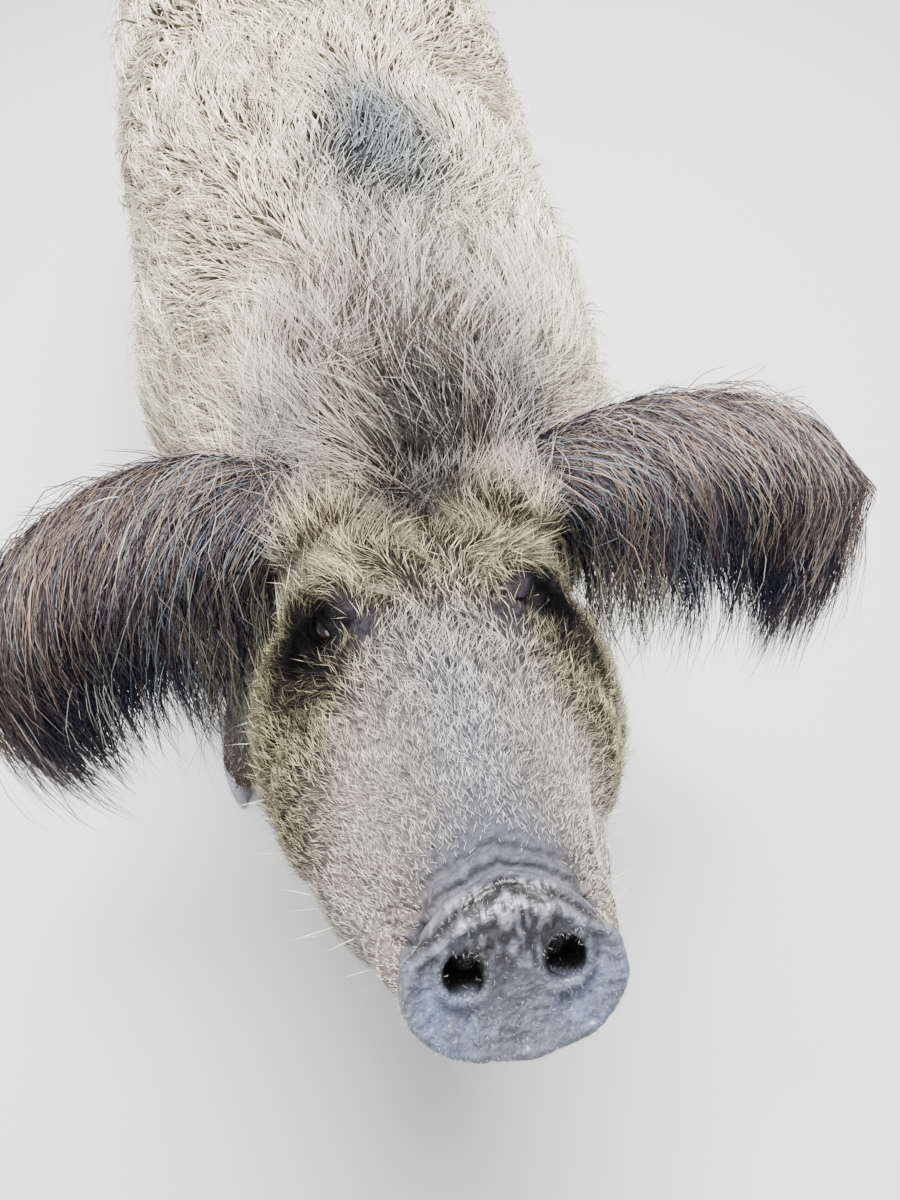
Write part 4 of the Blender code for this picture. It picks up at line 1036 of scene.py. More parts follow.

# The eyes
# Small and dark, set deep under the brow: a wet clear cornea over a brown iris, with little white to be
# seen. Each is one ball that the lids hold.

# The ball's colours are all near black: the brown iris and the white round it darkened with painted shade
# from the deep socket
eye_stops_in_shade = (
    (0.20, (0.002, 0.002, 0.002)),
    (0.27, (0.020, 0.011, 0.007)),
    (0.52, (0.014, 0.008, 0.006)),
    (0.62, (0.006, 0.005, 0.005)),
    (0.98, (0.020, 0.016, 0.014)),
)
wet_eye = look(
    "wet_eye",
    {
        "ring": ("Attribute", {"attribute_name": "from_pupil"}),
        "fibres": ("TexNoise", {"Scale": 700.0}),
        "wobble": ("Math", {"operation": "MULTIPLY_ADD", 0: "fibres.Fac", 1: 0.12, 2: "ring.Fac"}),
        "shades": ("ValToRGB", {"Fac": "wobble.Value", "stops": eye_stops_in_shade}),
        "surface": (
            None,
            {"Base Color": "shades.Color", "Roughness": 0.08, "Coat Weight": 0.4, "Coat Roughness": 0.03},
        ),
    },
)
for name, sign in (("left", 1), ("right", -1)):
    along, across, out = eye_axes(sign)
    ball_points, ball_faces = ellipsoid(np.zeros(3), (along, across, out), [EYE_RADIUS] * 3, 48, 64)
    angle = np.arccos(np.clip(unit(ball_points) @ out, -1.0, 1.0))
    bulge = 0.0007 * bell(angle, 0.55)
    ball_points = ball_points * (1.0 + bulge / EYE_RADIUS)[:, None] + eye_centre(sign)
    eye_mesh = mesh_from(f"eyeball_{name}", [(ball_points, ball_faces)])
    shade_smooth(eye_mesh)
    add_shades(eye_mesh, "from_pupil", "FLOAT", angle / (0.5 * math.pi) - 0.06)
    eye_mesh.materials.append(wet_eye)
    eye_mesh.transform(Matrix.Translation(SHIFT))
    eye = new_object(f"eyeball_{name}", eye_mesh)
    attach(eye, "root")
    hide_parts(f"eye_{name}")

# The claws
# Two hoofed toes carry each foot and two small ones hang behind. They are horn, slate grey with rings of
# growth across them, worn flat underneath, and they grow out of the skin at the coronet.

CLAW_SPREAD = 0.0168
CLAW_HALF_WIDTH = 0.0155
CLAW_TOE = 0.040
CLAW_HEEL = 0.026
DEWCLAW_HEIGHT = 0.078
DEWCLAW_SIZE = 0.011

horn_stops = ((0.30, linear(70, 68, 74)), (0.75, linear(148, 146, 154)))
horn = look(
    "claw_horn",
    {
        "place": ("TexCoord", {}),
        "rings": (
            "TexWave",
            {
                "Vector": "place.Object",
                "bands_direction": "Z",
                "Scale": 70.0,
                "Distortion": 3.0,
                "Detail": 3.0,
            },
        ),
        "grain": ("TexNoise", {"Vector": "place.Object", "Scale": 120.0, "Detail": 5.0}),
        "blend": ("Math", {"operation": "MULTIPLY_ADD", 0: "rings.Fac", 1: 0.25, 2: "grain.Fac"}),
        "shades": ("ValToRGB", {"Fac": "blend.Value", "stops": horn_stops}),
        "bump": ("Bump", {"Height": "blend.Value", "Strength": 0.35, "Distance": 0.001}),
        "surface": (None, {"Base Color": "shades.Color", "Normal": "bump.Normal", "Roughness": 0.46}),
    },
)


def claw_body(x, y, side, height):
    """A blunt wedge with a sloping front wall and a worn sole."""
    rows = ((0.0, 0.97, 0.96), (0.0025, 1.0, 1.0), (0.012, 0.98, 1.0), (0.030, 0.78, 0.96))
    rings = []
    for z, toe, girth in curve_through((*rows, (height, 0.46, 0.84)), 26):
        angle = np.linspace(0.0, 2.0 * math.pi, 40, endpoint=False)
        c, s = np.cos(angle), np.sin(angle)
        ridge = 1.0 + 0.012 * math.sin(z * 900.0) * (z > 0.003)
        narrow = 1.0 - 0.34 * np.maximum(0.0, s) ** 1.5
        across = c * CLAW_HALF_WIDTH * girth * narrow * ridge
        fore = s * np.where(s > 0, CLAW_TOE * toe * ridge, CLAW_HEEL * girth)
        rings.append(np.stack((x + side * across, y - fore, np.full(40, z)), axis=1))
    return loft(rings)


def dewclaw_body(x, y, out):
    """A small blunt horn that hangs back and down."""
    root = np.array((x + out * 0.020, y + 0.030, DEWCLAW_HEIGHT))
    tip = root + np.array((out * 0.008, 0.016, -0.030))
    along = unit(tip - root)
    across = unit(np.cross(along, (0, 1, 0)))
    up = np.cross(across, along)
    rings = []
    for share, girth in curve_through(((-0.25, 0.95), (0.0, 1.0), (0.55, 0.85), (0.9, 0.5), (1.0, 0.22)), 20):
        radius = DEWCLAW_SIZE * girth * (1.0 + 0.02 * math.sin(share * 40.0))
        flat = radius * 0.8
        rings.append(oval(root + (tip - root) * share, across, up, radius, flat, flat, count=28))
    return loft(rings)


for name in STANCE:
    x, y, _, _, _ = leg_rows(name)[-1]
    for place, side in (("outer", 1), ("inner", -1)):
        out = math.copysign(1.0, x) * side
        for kind, body in (
            ("claw", claw_body(x + out * CLAW_SPREAD, y - 0.004, out, CORONET)),
            ("dewclaw", dewclaw_body(x, y, out)),
        ):
            claw_mesh = mesh_from(f"{kind}_{name}_{place}", [body])
            shade_smooth(claw_mesh)
            claw_mesh.materials.append(horn)
            claw_mesh.transform(Matrix.Translation(SHIFT))
            claw = new_object(f"horn_{kind}_{name}_{place}", claw_mesh)
            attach(claw, "root")
            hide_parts(f"{kind}_{name}_{place}")

# The coat
# Wavy bristles over a fine wool, ash-blond with darker roots. It is built as thin closed tufts that are
# rooted in the skin, lie back along the body, bend, and draw together at their tips.

rng = np.random.default_rng(23)


def hair_look(name, roughness):
    """Hair: the colour of each tuft, a little streaked along its length."""
    stops = ((0.30, (0.78, 0.77, 0.76)), (0.72, (1.12, 1.11, 1.08)))
    return look(
        name,
        {
            "tint": ("Attribute", {"attribute_name": "tint"}),
            "place": ("TexCoord", {}),
            "streaks": ("TexNoise", {"Vector": "place.Object", "Scale": 240.0, "Detail": 3.0}),
            "shades": ("ValToRGB", {"Fac": "streaks.Fac", "stops": stops}),
            "stained": ("Mix", {**STAIN, 6: "tint.Color", 7: "shades.Color"}),
            "surface": (
                None,
                {"Base Color": "stained.2", "Roughness": roughness, "Specular IOR Level": 0.09},
            ),
        },
    )


coat_hair = hair_look("blond_hair", 0.62)

triangle_corners = skin_points[skin_triangles]
triangle_middles = triangle_corners.mean(axis=1)
first_edge, second_edge = (triangle_corners[:, k] - triangle_corners[:, 0] for k in (1, 2))
triangle_areas = np.linalg.norm(np.cross(first_edge, second_edge), axis=1) / 2.0
triangle_part = skin_part[skin_triangles[:, 0]]


def part_of_skin(*names):
    """The triangles of the skin that belong to any of the parts."""
    return np.isin(triangle_part, [source_names.index(name) for name in names])


def spread(values, *weights):
    """The corners' values of each chosen triangle, taken at the place that the weights give."""
    return sum(values[:, k] * weight[:, None] for k, weight in enumerate(weights))


def roots_on(weight, count):
    """Places spread over the skin by weight, with the skin's normal at each."""
    share = np.cumsum(triangle_areas * weight)
    picks = (np.arange(count) + rng.uniform(0.0, 1.0, count)) / count * share[-1]
    chosen = np.searchsorted(share, picks)
    u = rng.uniform(0.0, 1.0, count)
    v = rng.uniform(0.0, 1.0, count)
    over = u + v > 1.0
    u[over], v[over] = 1.0 - u[over], 1.0 - v[over]
    weights = (1.0 - u - v, u, v)
    place = spread(triangle_corners[chosen], *weights)
    normal = spread(skin_normals[skin_triangles[chosen]], *weights)
    return place, unit(normal), triangle_part[chosen]


def on_skin(lie, normal):
    """The lie laid flat on the skin."""
    return unit(lie - normal * np.sum(lie * normal, axis=1, keepdims=True))


def turned(lie, normal, angle):
    """The lie turned about the normal."""
    return lie * np.cos(angle)[:, None] + np.cross(normal, lie) * np.sin(angle)[:, None]


def grown(weight, count, lie_at, twist, length_at, lengths, lifts):
    """Hairs rooted by weight: root, normal, part of the skin, lie, length and lift of each."""
    root, normal, part = roots_on(weight, count)
    lie = turned(lie_at(root, normal), normal, rng.normal(0.0, twist, count))
    length = length_at(root) * rng.uniform(*lengths, count)
    return root, normal, part, lie, length, rng.uniform(*lifts, count)


def shares(steps):
    """Where the points of a hair lie along it: closer together near the root, where it bends most."""
    return np.linspace(0.0, 1.0, steps) ** 1.35


def hair_lines(root, normal, lie, length, lift, bend, sag, steps):
    """Centre lines of hairs that rise from the skin, lie over and bend to one side."""
    share = shares(steps)[None, :, None]
    side = np.cross(normal, lie)
    way = lie * np.cos(lift)[:, None] + normal * np.sin(lift)[:, None]
    reach = length[:, None, None] * share
    lines = root[:, None, :] + way[:, None, :] * reach
    lines += side[:, None, :] * (bend * length)[:, None, None] * share**2
    lines -= normal[:, None, :] * (sag * length)[:, None, None] * share**2
    return lines


def drawn_together(lines, root, pull, spacing):
    """Hairs drawn to the middle hair of their tuft, more and more towards the tip."""
    order = rng.permutation(len(root))
    middles = []
    taken = {}
    for i in order.tolist():
        cell = tuple((root[i] // spacing).astype(int))
        if cell not in taken:
            taken[cell] = i
            middles.append(i)
    tree = KDTree(len(middles))
    for k, i in enumerate(middles):
        tree.insert(root[i], k)
    tree.balance()
    owner = np.array([middles[tree.find(p)[1]] for p in root.tolist()])
    share = shares(lines.shape[1])[None, :, None] ** 1.2
    return lines + (lines[owner] - lines) * share * pull[:, None, None], owner


def kept_outside(lines, clearance):
    """Hairs lifted back over the skin wherever they would run into it."""
    for step in range(1, lines.shape[1]):
        for i, p in enumerate(lines[:, step].tolist()):
            near, normal, _, _ = skin_tree.find_nearest(Vector(p), 0.03)
            if near is None:
                continue
            height = (Vector(p) - near).dot(normal)
            if height < clearance * step:
                lines[i, step] = near + normal * (clearance * step)
    return lines


def rolled(first, second):
    """The turn about an axis, as a share of the whole round."""
    return np.arctan2(first, second) / (2 * math.pi) + 0.5


def chart(points, part):
    """Where a place of the skin lies on its unwrap: trunk, head, each leg and the tail rolled flat."""
    u = np.zeros(len(points))
    v = np.zeros(len(points))
    for k, name in enumerate(source_names):
        mine = part == k
        x, y, z = points[mine].T
        if name == "trunk":
            u[mine] = rolled(x, 0.45 - z)
            v[mine] = 0.02 + 0.48 * (y + 0.35) / 1.25
        elif name == "head":
            back, side, up = head_places(points[mine])
            u[mine] = rolled(side, -up)
            v[mine] = 0.54 + 0.26 * back / 0.42
        elif name == "tail":
            u[mine] = rolled(x, y - 0.9)
            v[mine] = 0.82 + 0.04 * (0.55 - z) / 0.3
        elif name.startswith("leg"):
            leg = name.removeprefix("leg_")
            foot_x, foot_y, *_ = leg_rows(leg)[-1]
            u[mine] = 0.25 * (list(STANCE).index(leg) + rolled(x - foot_x, y - foot_y))
            v[mine] = 0.88 + 0.10 * z / 0.45
    return np.stack((np.clip(u, 0.0, 0.996), np.clip(v, 0.0, 0.996)), axis=1)


# The patch of the unwrap that each tuft takes, across and along
PATCH_WIDTH = 0.0015
PATCH_HEIGHT = 0.003


def tufts(name, lines, across, width, colours, places, flatness=0.6, hair=coat_hair):
    """One coat piece: closed three-sided tufts along their centre lines, pointed at both ends."""
    count, steps, _ = lines.shape
    rings = steps - 2
    per = 3 * rings + 2
    way = np.empty_like(lines)
    way[:, :-1] = lines[:, 1:] - lines[:, :-1]
    way[:, -1] = way[:, -2]
    way[:, 1:-1] += way[:, :-2]
    way = unit(way)
    side = unit(across[:, None, :] - way * np.sum(across[:, None, :] * way, axis=2, keepdims=True))
    rise = np.cross(way, side)
    points = np.empty((count, per, 3))
    tones = np.empty((count, per, 3))
    patch = np.empty((count, per, 2))
    girth = (1.0 - shares(steps)) ** 0.55
    for end, high in ((0, 0.0), (-1, PATCH_HEIGHT)):
        points[:, end] = lines[:, end]
        tones[:, end] = colours[:, end]
        patch[:, end] = (PATCH_WIDTH, high)
    for r in range(1, rings + 1):
        half = (width * girth[r] / 2.0)[:, None]
        for k, (s, h) in enumerate(((-1.0, -0.5), (1.0, -0.5), (0.0, 1.0))):
            at = 3 * r - 2 + k
            points[:, at] = lines[:, r] + side[:, r] * half * s + rise[:, r] * half * h * flatness
            patch[:, at] = (PATCH_WIDTH * (s + 1.0), PATCH_HEIGHT * shares(steps)[r])
            tones[:, at] = colours[:, r]
    loops = [(0, 1 + (k + 1) % 3, 1 + k) for k in range(3)]
    for r in range(1, rings):
        for k in range(3):
            a, b = 3 * r - 2 + k, 3 * r - 2 + (k + 1) % 3
            loops.append((a, b, b + 3, a + 3))
    last = 3 * rings - 2
    loops += [(last + k, last + (k + 1) % 3, per - 1) for k in range(3)]
    pattern = np.array([i for face in loops for i in face])
    starts = np.concatenate(([0], np.cumsum([len(face) for face in loops])[:-1]))
    all_loops = (np.arange(count)[:, None] * per + pattern[None, :]).ravel()
    all_starts = (np.arange(count)[:, None] * len(pattern) + starts[None, :]).ravel()
    mesh = bpy.data.meshes.new(name)
    mesh.vertices.add(count * per)
    mesh.vertices.foreach_set("co", (points + SHIFT).ravel())
    mesh.loops.add(len(all_loops))
    mesh.loops.foreach_set("vertex_index", all_loops)
    mesh.polygons.add(len(all_starts))
    mesh.polygons.foreach_set("loop_start", all_starts)
    mesh.update(calc_edges=True)
    shade_smooth(mesh)
    add_shades(mesh, "tint", "FLOAT_COLOR", np.clip(tones, 0.0, 1.0).reshape(-1, 3))
    corner = (places[:, None, :] + patch).reshape(-1, 2)[all_loops]
    mesh.uv_layers.new(name="OFBake").data.foreach_set("uv", corner.ravel())
    mesh.materials.append(hair)
    made = new_object(name, mesh)
    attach(made, "root")


def hair_shades(root_colour, tip_colour, steps, brightness, dark, tip_at=0.65):
    """Colours along each hair, from the root to the tip. Some hairs are dark all along."""
    share = np.clip(shares(steps) / tip_at, 0.0, 1.0)[None, :, None]
    tones = root_colour[:, None, :] * (1.0 - share) + tip_colour[:, None, :] * share
    tones = tones * brightness[:, None, None]
    return tones * np.where(dark, 0.14, 1.0)[:, None, None]


def body_lie(points, normal):
    """Hair lies backwards from the poll, away from the line of the back and down the flanks."""
    x, y, z = points.T
    side = np.sign(x) * np.minimum(1.0, np.abs(x) / 0.12)
    steep = np.where(y < -0.1, 0.30, 0.42)
    lie = np.stack((side * 0.35, np.ones(len(x)), -steep * np.abs(side)), axis=1)
    lie[:, 2] -= 1.6 * np.clip((y - 0.70) / 0.12, 0.0, 1.0)
    lie = on_skin(lie, normal)
    swirl = 0.42 * np.sin(x * 31.0 + 2.1 * np.sin(y * 17.0)) + 0.34 * np.sin(y * 43.0 + z * 29.0 + 0.7)
    swirl += 0.20 * np.sin(points @ np.array((83.0, -61.0, 97.0)))
    return turned(lie, normal, swirl)


def body_length(points):
    x, y, z = points.T
    length = 0.046 + 0.012 * ramp(-y, 0.05, 0.20) * ramp(z, 0.45, 0.6)
    length -= 0.012 * (1.0 - ramp(z, 0.30, 0.40))
    length += 0.008 * bell(x, 0.05) * ramp(z, 0.55, 0.65)
    return length


def patchy(points):
    """Lighter and darker streaks of the coat, from about -1 to 1."""
    x, y, z = points.T
    wave = np.sin(x * 150.0 + 2.0 * np.sin(y * 60.0 + z * 40.0))
    wave = wave + np.sin(y * 95.0 - z * 120.0 + 3.0 * np.sin(x * 70.0))
    return 0.5 * wave * (0.6 + 0.4 * np.sin(points @ np.array((210.0, 160.0, -190.0))))


# How far behind the disc the body's coat starts. The face's ends a little behind that, so no gap shows
BODY_COAT_STARTS = 0.300
FACE_COAT_ENDS = 0.302


def body_coat(name, y_from, y_to, sign, nearness, count, width):
    """Long wavy hair of one stretch of the trunk, closer on the back by the nearness."""
    x, y, z = triangle_middles.T
    weight = (y >= y_from) & (y < y_to) & (x * sign >= 0)
    weight = weight * (1.0 + nearness * ramp(z, 0.42, 0.60)) * part_of_skin("trunk", "head")
    weight = weight * (head_places(triangle_middles)[0] > BODY_COAT_STARTS)
    root, normal, part, lie, length, lift = grown(
        weight, count, body_lie, 0.24, body_length, lengths=(0.60, 1.28), lifts=(0.16, 0.50)
    )
    loose = rng.uniform(0.0, 1.0, count) < 0.14
    lift[loose] += rng.uniform(0.15, 0.55, loose.sum())
    bend = rng.normal(0.0, 0.24, count)
    bend += 0.32 * np.sin(root @ np.array((110.0, 70.0, 90.0)))
    bend *= 1.0 + 1.5 * markings(root)["curls"]
    sag = np.sin(lift) * rng.uniform(0.45, 0.95, count)
    lines = hair_lines(root, normal, lie, length, lift, bend, sag, 4)
    pull = rng.uniform(0.20, 0.75, count) * np.where(loose, 0.2, 1.0)
    lines, owner = drawn_together(lines, root, pull, spacing=0.015)
    lines = kept_outside(lines, clearance=0.0016)
    brightness = rng.uniform(0.72, 1.22, count) * rng.uniform(0.84, 1.12, count)[owner]
    brightness *= 1.0 + 0.22 * patchy(root)
    m = markings(lines[:, 2])
    front = ramp(-root[:, 1], -0.02, 0.14)
    # More dark hairs in the dip of the nape, as painted shade
    odds = 0.05 + 0.08 * front + 0.50 * m["nape"] + 0.28 * m["mane"] + 0.16 * m["patch"] + 0.4 * m["crease"]
    dark = rng.uniform(0.0, 1.0, count) < odds
    colours = hair_shades(*coat_colours(lines[:, 2]), 4, brightness, dark)
    widths = width * rng.uniform(0.55, 1.40, count) * (1.0 - 0.30 * ramp(-root[:, 1], 0.12, 0.24))
    tufts(name, lines, np.cross(normal, lie), widths, colours, chart(root, part))


# Of each stretch: where it starts and ends along the body, how much closer the back is, hairs and width
STRETCHES = {
    "neck": (-0.40, -0.10, 1.4, 11500, 0.00092),
    "shoulder": (-0.10, 0.12, 1.0, 8000, 0.00125),
    "flank": (0.12, 0.50, 0.7, 6800, 0.0021),
    "rump": (0.50, 1.00, 0.3, 5500, 0.0025),
}
for label, sign in (("left", 1), ("right", -1)):
    for stretch, (y_from, y_to, nearness, count, width) in STRETCHES.items():
        body_coat(f"coat_{stretch}_{label}", y_from, y_to, sign, nearness, count, width)

# The hair of the head
# Short and close on the muzzle, where the hide shows through, longer and straw yellow on the forehead and
# the cheeks, and long on the poll. Hardly any grows round the eyes and none on the disc.

FACE_HAIRS = 26500


def brows(points):
    """How far each place is on the brow that hangs over an eye, and the way down over that eye."""
    share = np.zeros(len(points))
    down = np.zeros((len(points), 3))
    for sign in (1, -1):
        u, v, w = eye_places(points, sign)
        here = bell(v - 0.032, 0.008) * bell(u + 0.010, 0.020) * ramp(w, -0.045, -0.020)
        down += here[:, None] * (eye_axes(sign)[2] * 0.5 - over_eye(sign) - FORWARD * 0.15)
        share = np.maximum(share, here)
    return share, down


def head_length(points):
    back, side, up = head_places(points)
    wide = np.abs(side)
    length = 0.0042 + 0.003 * ramp(back, 0.03, 0.07) + 0.010 * ramp(back, 0.08, 0.20)
    length += 0.007 * ramp(back, 0.17, 0.24) * ramp(wide, 0.05, 0.09)
    length += 0.020 * ramp(back, 0.215, 0.280) * ramp(up, 0.02, 0.07)
    length += 0.010 * ramp(back, 0.06, 0.20) * ramp(-up, -0.005, 0.05)
    return length + 0.015 * brows(points)[0]


def head_lie(points, normal):
    """Hair lies backwards from the disc, down the cheeks, up on the forehead and over the eyes."""
    back, side, up = head_places(points)
    lie = -FORWARD[None, :] + LEFT[None, :] * (side * 4.0)[:, None]
    lie = lie - UP[None, :] * (np.abs(side) * 3.2)[:, None]
    lie = lie + UP[None, :] * (0.9 * ramp(back, 0.20, 0.26) * ramp(up, 0.02, 0.07))[:, None]
    share, down = brows(points)
    lie = lie * (1.0 - 0.8 * share)[:, None] + 1.4 * down
    lie = on_skin(lie, normal)
    curly = 0.22 + 0.26 * ramp(back, 0.13, 0.20) * ramp(up, 0.0, 0.04)
    swirl = np.sin(points @ np.array((120.0, 60.0, -80.0)) + 1.7 * np.sin(side * 75.0))
    swirl += 0.8 * np.sin(side * 130.0 + back * 105.0 + 1.2 * np.sin(back * 60.0))
    return turned(lie, normal, curly * swirl)


def head_density(points):
    """How close the short hair grows."""
    m = markings(points)
    back, _, up = head_places(points)
    a, b, c, beyond = disc_places(points)
    grows = ramp(-c, 0.012, 0.022) * (1.0 - 0.86 * m["bare"])
    grows *= (1.0 - 0.45 * m["eyes"]) * (1.0 - 0.97 * m["pads"]) * (1.0 - 0.5 * m["recess_shade"])
    for sign in (1, -1):
        u, v, w = eye_places(points, sign)
        grows *= 1.0 - (w > -0.010) * (1.0 - ramp(np.hypot(u / 0.019, v / 0.011), 0.9, 1.2))
    on_disc = (c > -0.016) & (beyond < 0.004)
    folds = (c > -0.040) * (1.0 - ramp(beyond, 0.010, 0.020)) * ramp(b, 0.0, 0.016) * bell(a, 0.036)
    grows *= (1.0 + 1.6 * brows(points)[0]) * (1.0 - 0.20 * ramp(back, 0.14, 0.20))
    return grows * ~on_disc * (1.0 - 0.92 * folds) * (1.0 + 0.5 * ramp(up, -0.06, 0.0))


def head_coat(name, sign, count):
    """Short hair of one side of the head."""
    back, side, _ = head_places(triangle_middles)
    weight = head_density(triangle_middles) * part_of_skin("head", "trunk")
    weight = weight * (back < FACE_COAT_ENDS) * (side * sign >= 0)
    root, normal, part, lie, length, lift = grown(
        weight, count, head_lie, 0.34, head_length, lengths=(0.6, 1.35), lifts=(0.25, 0.75)
    )
    bend = rng.normal(0.0, 0.30, count)
    sag = np.sin(lift) * rng.uniform(0.3, 0.8, count)
    lines = hair_lines(root, normal, lie, length, lift, bend, sag, 3)
    m = markings(root)
    wild = m["head"] * (1.0 - m["muzzle"]) * (1.0 - m["bridge"])
    pull = rng.uniform(0.05, 0.55, count) * (0.30 + 0.70 * wild)
    lines, owner = drawn_together(lines, root, pull, spacing=0.0085)
    lines = kept_outside(lines, clearance=0.0010)
    root_colour, tip_colour = coat_colours(lines[:, 1])
    root_colour *= (0.60 - 0.25 * m["brow"])[:, None]
    stray = (m["eyes"] > 0.10) & (m["recess_shade"] < 0.5) & (rng.uniform(0.0, 1.0, count) < 0.36)
    tip_colour[stray] = HAIR["straw"][1] * rng.uniform(0.25, 0.75, (stray.sum(), 1))
    brightness = rng.uniform(0.50, 1.30, count)
    brightness *= 0.96 + (0.16 + 0.30 * wild) * rng.uniform(-1.0, 1.0, count)[owner]
    brightness *= 1.0 + 0.22 * ramp(head_places(root)[2], 0.045, 0.080) * wild
    # More dark hairs in the dip of the nape, as painted shade
    odds = 0.05 + 0.36 * wild + 0.05 * m["bridge"] + 0.22 * m["brow"] + 0.3 * m["crease"]
    dark = rng.uniform(0.0, 1.0, count) < odds
    colours = hair_shades(root_colour, tip_colour, 3, brightness, dark, 0.60)
    widths = (0.00034 + 0.0060 * length) * rng.uniform(0.6, 1.4, count)
    tufts(name, lines, np.cross(normal, lie), widths, colours, chart(root, part))


for label, sign in (("left", 1), ("right", -1)):
    head_coat(f"coat_face_{label}", sign, FACE_HAIRS)

# The hair of the ears
# The flaps carry the longest hair of all. It springs from the rear edge, purple brown and ginger there,
# lies across the flap and hangs far beyond its front edge as a blue-black fringe with silver strands.

EAR_BROWN = linear(110, 97, 99)
EAR_BROWN_ROOT = linear(64, 57, 58)
EAR_GINGER = linear(182, 160, 146)
EAR_BLACK = linear(24, 28, 41)
EAR_SILVER = linear(190, 186, 182)
EAR_GREY = linear(130, 136, 149)
EAR_STRAW = linear(156, 148, 115)
OUTER_HAIRS = 5000
INNER_HAIRS = 1500


def ear_strands(name, count, inside):
    """Centre lines of the hair of one face of the flap, and what its colours go by."""
    steps = 5 if inside else 7
    ear_length = EARS[name][1]
    along = rng.uniform(0.0, 1.0, count) ** 0.92
    half = ear_half_width(along)
    start = rng.uniform(-1.0, 0.95, count)
    if not inside:
        start = np.where(rng.uniform(0, 1, count) < 0.42, rng.uniform(-1.02, -0.45, count), start)
    rear = 1.0 - ramp(start, -0.95, -0.20)
    longest = 0.186 if name == "left" else 0.182
    length = rng.uniform(0.50, 1.0, count) * longest * (0.70 + 0.34 * rear)
    length *= 1.0 + (0.40 if name == "right" else 0.12) * (1.0 - ramp(along, 0.12, 0.34))
    if inside:
        length *= 0.55
    wisp = (rng.uniform(0.0, 1.0, count) < 0.30) & (start < -0.55) & (not inside)
    fluff = (rng.uniform(0.0, 1.0, count) < 0.30) & (start < -0.70) & ~wisp & (not inside)
    length[fluff] = rng.uniform(0.016, 0.050, fluff.sum())
    # A strand sets off towards the tip of the ear and turns over to hang across the flap
    outer = ramp(along, 0.45, 1.0)
    first = rng.normal(1.05, 0.22, count) - 0.90 * outer
    first = np.where(wisp, rng.uniform(1.1, 2.3, count) - 0.5 * outer, first)
    first = np.where(fluff, rng.uniform(0.3, 2.7, count) - 0.3 * outer, first)
    last = rng.normal(-0.04, 0.17, count) - 0.26 * outer
    last = np.where(fluff, first - 0.7, last)
    share = np.linspace(0.0, 1.0, steps)[None, :] ** 1.12
    heading = first[:, None] + (last - first)[:, None] * ramp(share, -0.15, 0.90)
    phase = along * 24.0 + 1.8 * np.sin(start * 3.0 + along * 9.0) + rng.normal(0.0, 0.60, count)
    curly = 0.15 + 0.34 * (1.0 - ramp(along, 0.05, 0.30)) + 0.20 * wisp
    heading = heading + (curly * 1.1)[:, None] * np.sin(share * 6.5 + phase[:, None]) * (0.25 + 0.75 * share)
    stretch = np.diff(share, axis=1) * length[:, None]
    turn = (heading[:, 1:] + heading[:, :-1]) / 2.0
    paths_over = np.zeros((count, steps))
    paths_along = np.zeros((count, steps))
    paths_over[:, 1:] = np.cumsum(stretch * np.cos(turn), axis=1)
    paths_along[:, 1:] = np.cumsum(stretch * np.sin(turn), axis=1) / ear_length
    paths_over += (start * half)[:, None]
    paths_along += along[:, None]
    # No strand runs more than a little past the tip, which the hair rounds off
    limit = 0.965 - 22.0 * np.clip(0.052 - paths_over, 0.0, 0.1) ** 2
    limit -= 6.0 * np.clip(paths_over - 0.085, 0.0, 0.1) ** 2
    excess = np.maximum(0.0, paths_along - limit)
    paths_along = np.minimum(paths_along, limit) + 0.12 * np.tanh(excess / 0.12)
    puff = rng.uniform(0.0, 1.0, count)[:, None] * np.where(wisp | fluff, 1.25, 1.0)[:, None]
    rise = EAR_THICKNESS / 2.0 + 0.0006 + (0.010 if inside else 0.022) * puff * np.sin(math.pi * share * 0.85)
    if inside:
        rise = -rise * 0.8
    root_thick = np.maximum(0.0, 1.0 - paths_along / 0.3) ** 2 * (EAR_ROOT_THICKNESS - EAR_THICKNESS) / 2.0
    rise = rise + root_thick * (-1.0 if inside else 1.0)
    lines = ear_place(name, paths_along, paths_over, rise, 1.0)
    # Past the front edge nothing bears the hair, and it hangs down and in
    beyond = np.maximum(0.0, paths_over - ear_half_width(np.minimum(paths_along, 1.0)))
    sign = 1 if name == "left" else -1
    lines[..., 2] -= beyond * rng.uniform(0.05, 0.50, count)[:, None]
    lines[..., 2] -= 0.10 * np.maximum(0.0, paths_along - 0.70) ** 2
    inwards = rng.normal(0.15, 0.14, count) + 0.06 * outer
    lines[..., 0] -= sign * inwards[:, None] * beyond
    ahead = ear_place(name, along, start * half, np.ones(count)) - ear_place(name, along, start * half, 0.0)
    across = unit(np.cross(ahead, lines[:, 1] - lines[:, 0]))
    pull = rng.uniform(0.05, 0.90, count) * np.where(wisp, 0.45, 1.0) * ~fluff
    lines, owner = drawn_together(lines, lines[:, 0].copy(), pull, spacing=0.013)
    lone = rng.uniform(0.0, 1.0, count) < 0.35
    strand = np.where(lone, rng.uniform(0.0, 1.0, count), rng.uniform(0.0, 1.0, count)[owner])
    return lines, across, fluff, (share, along, start, rear, wisp, strand)


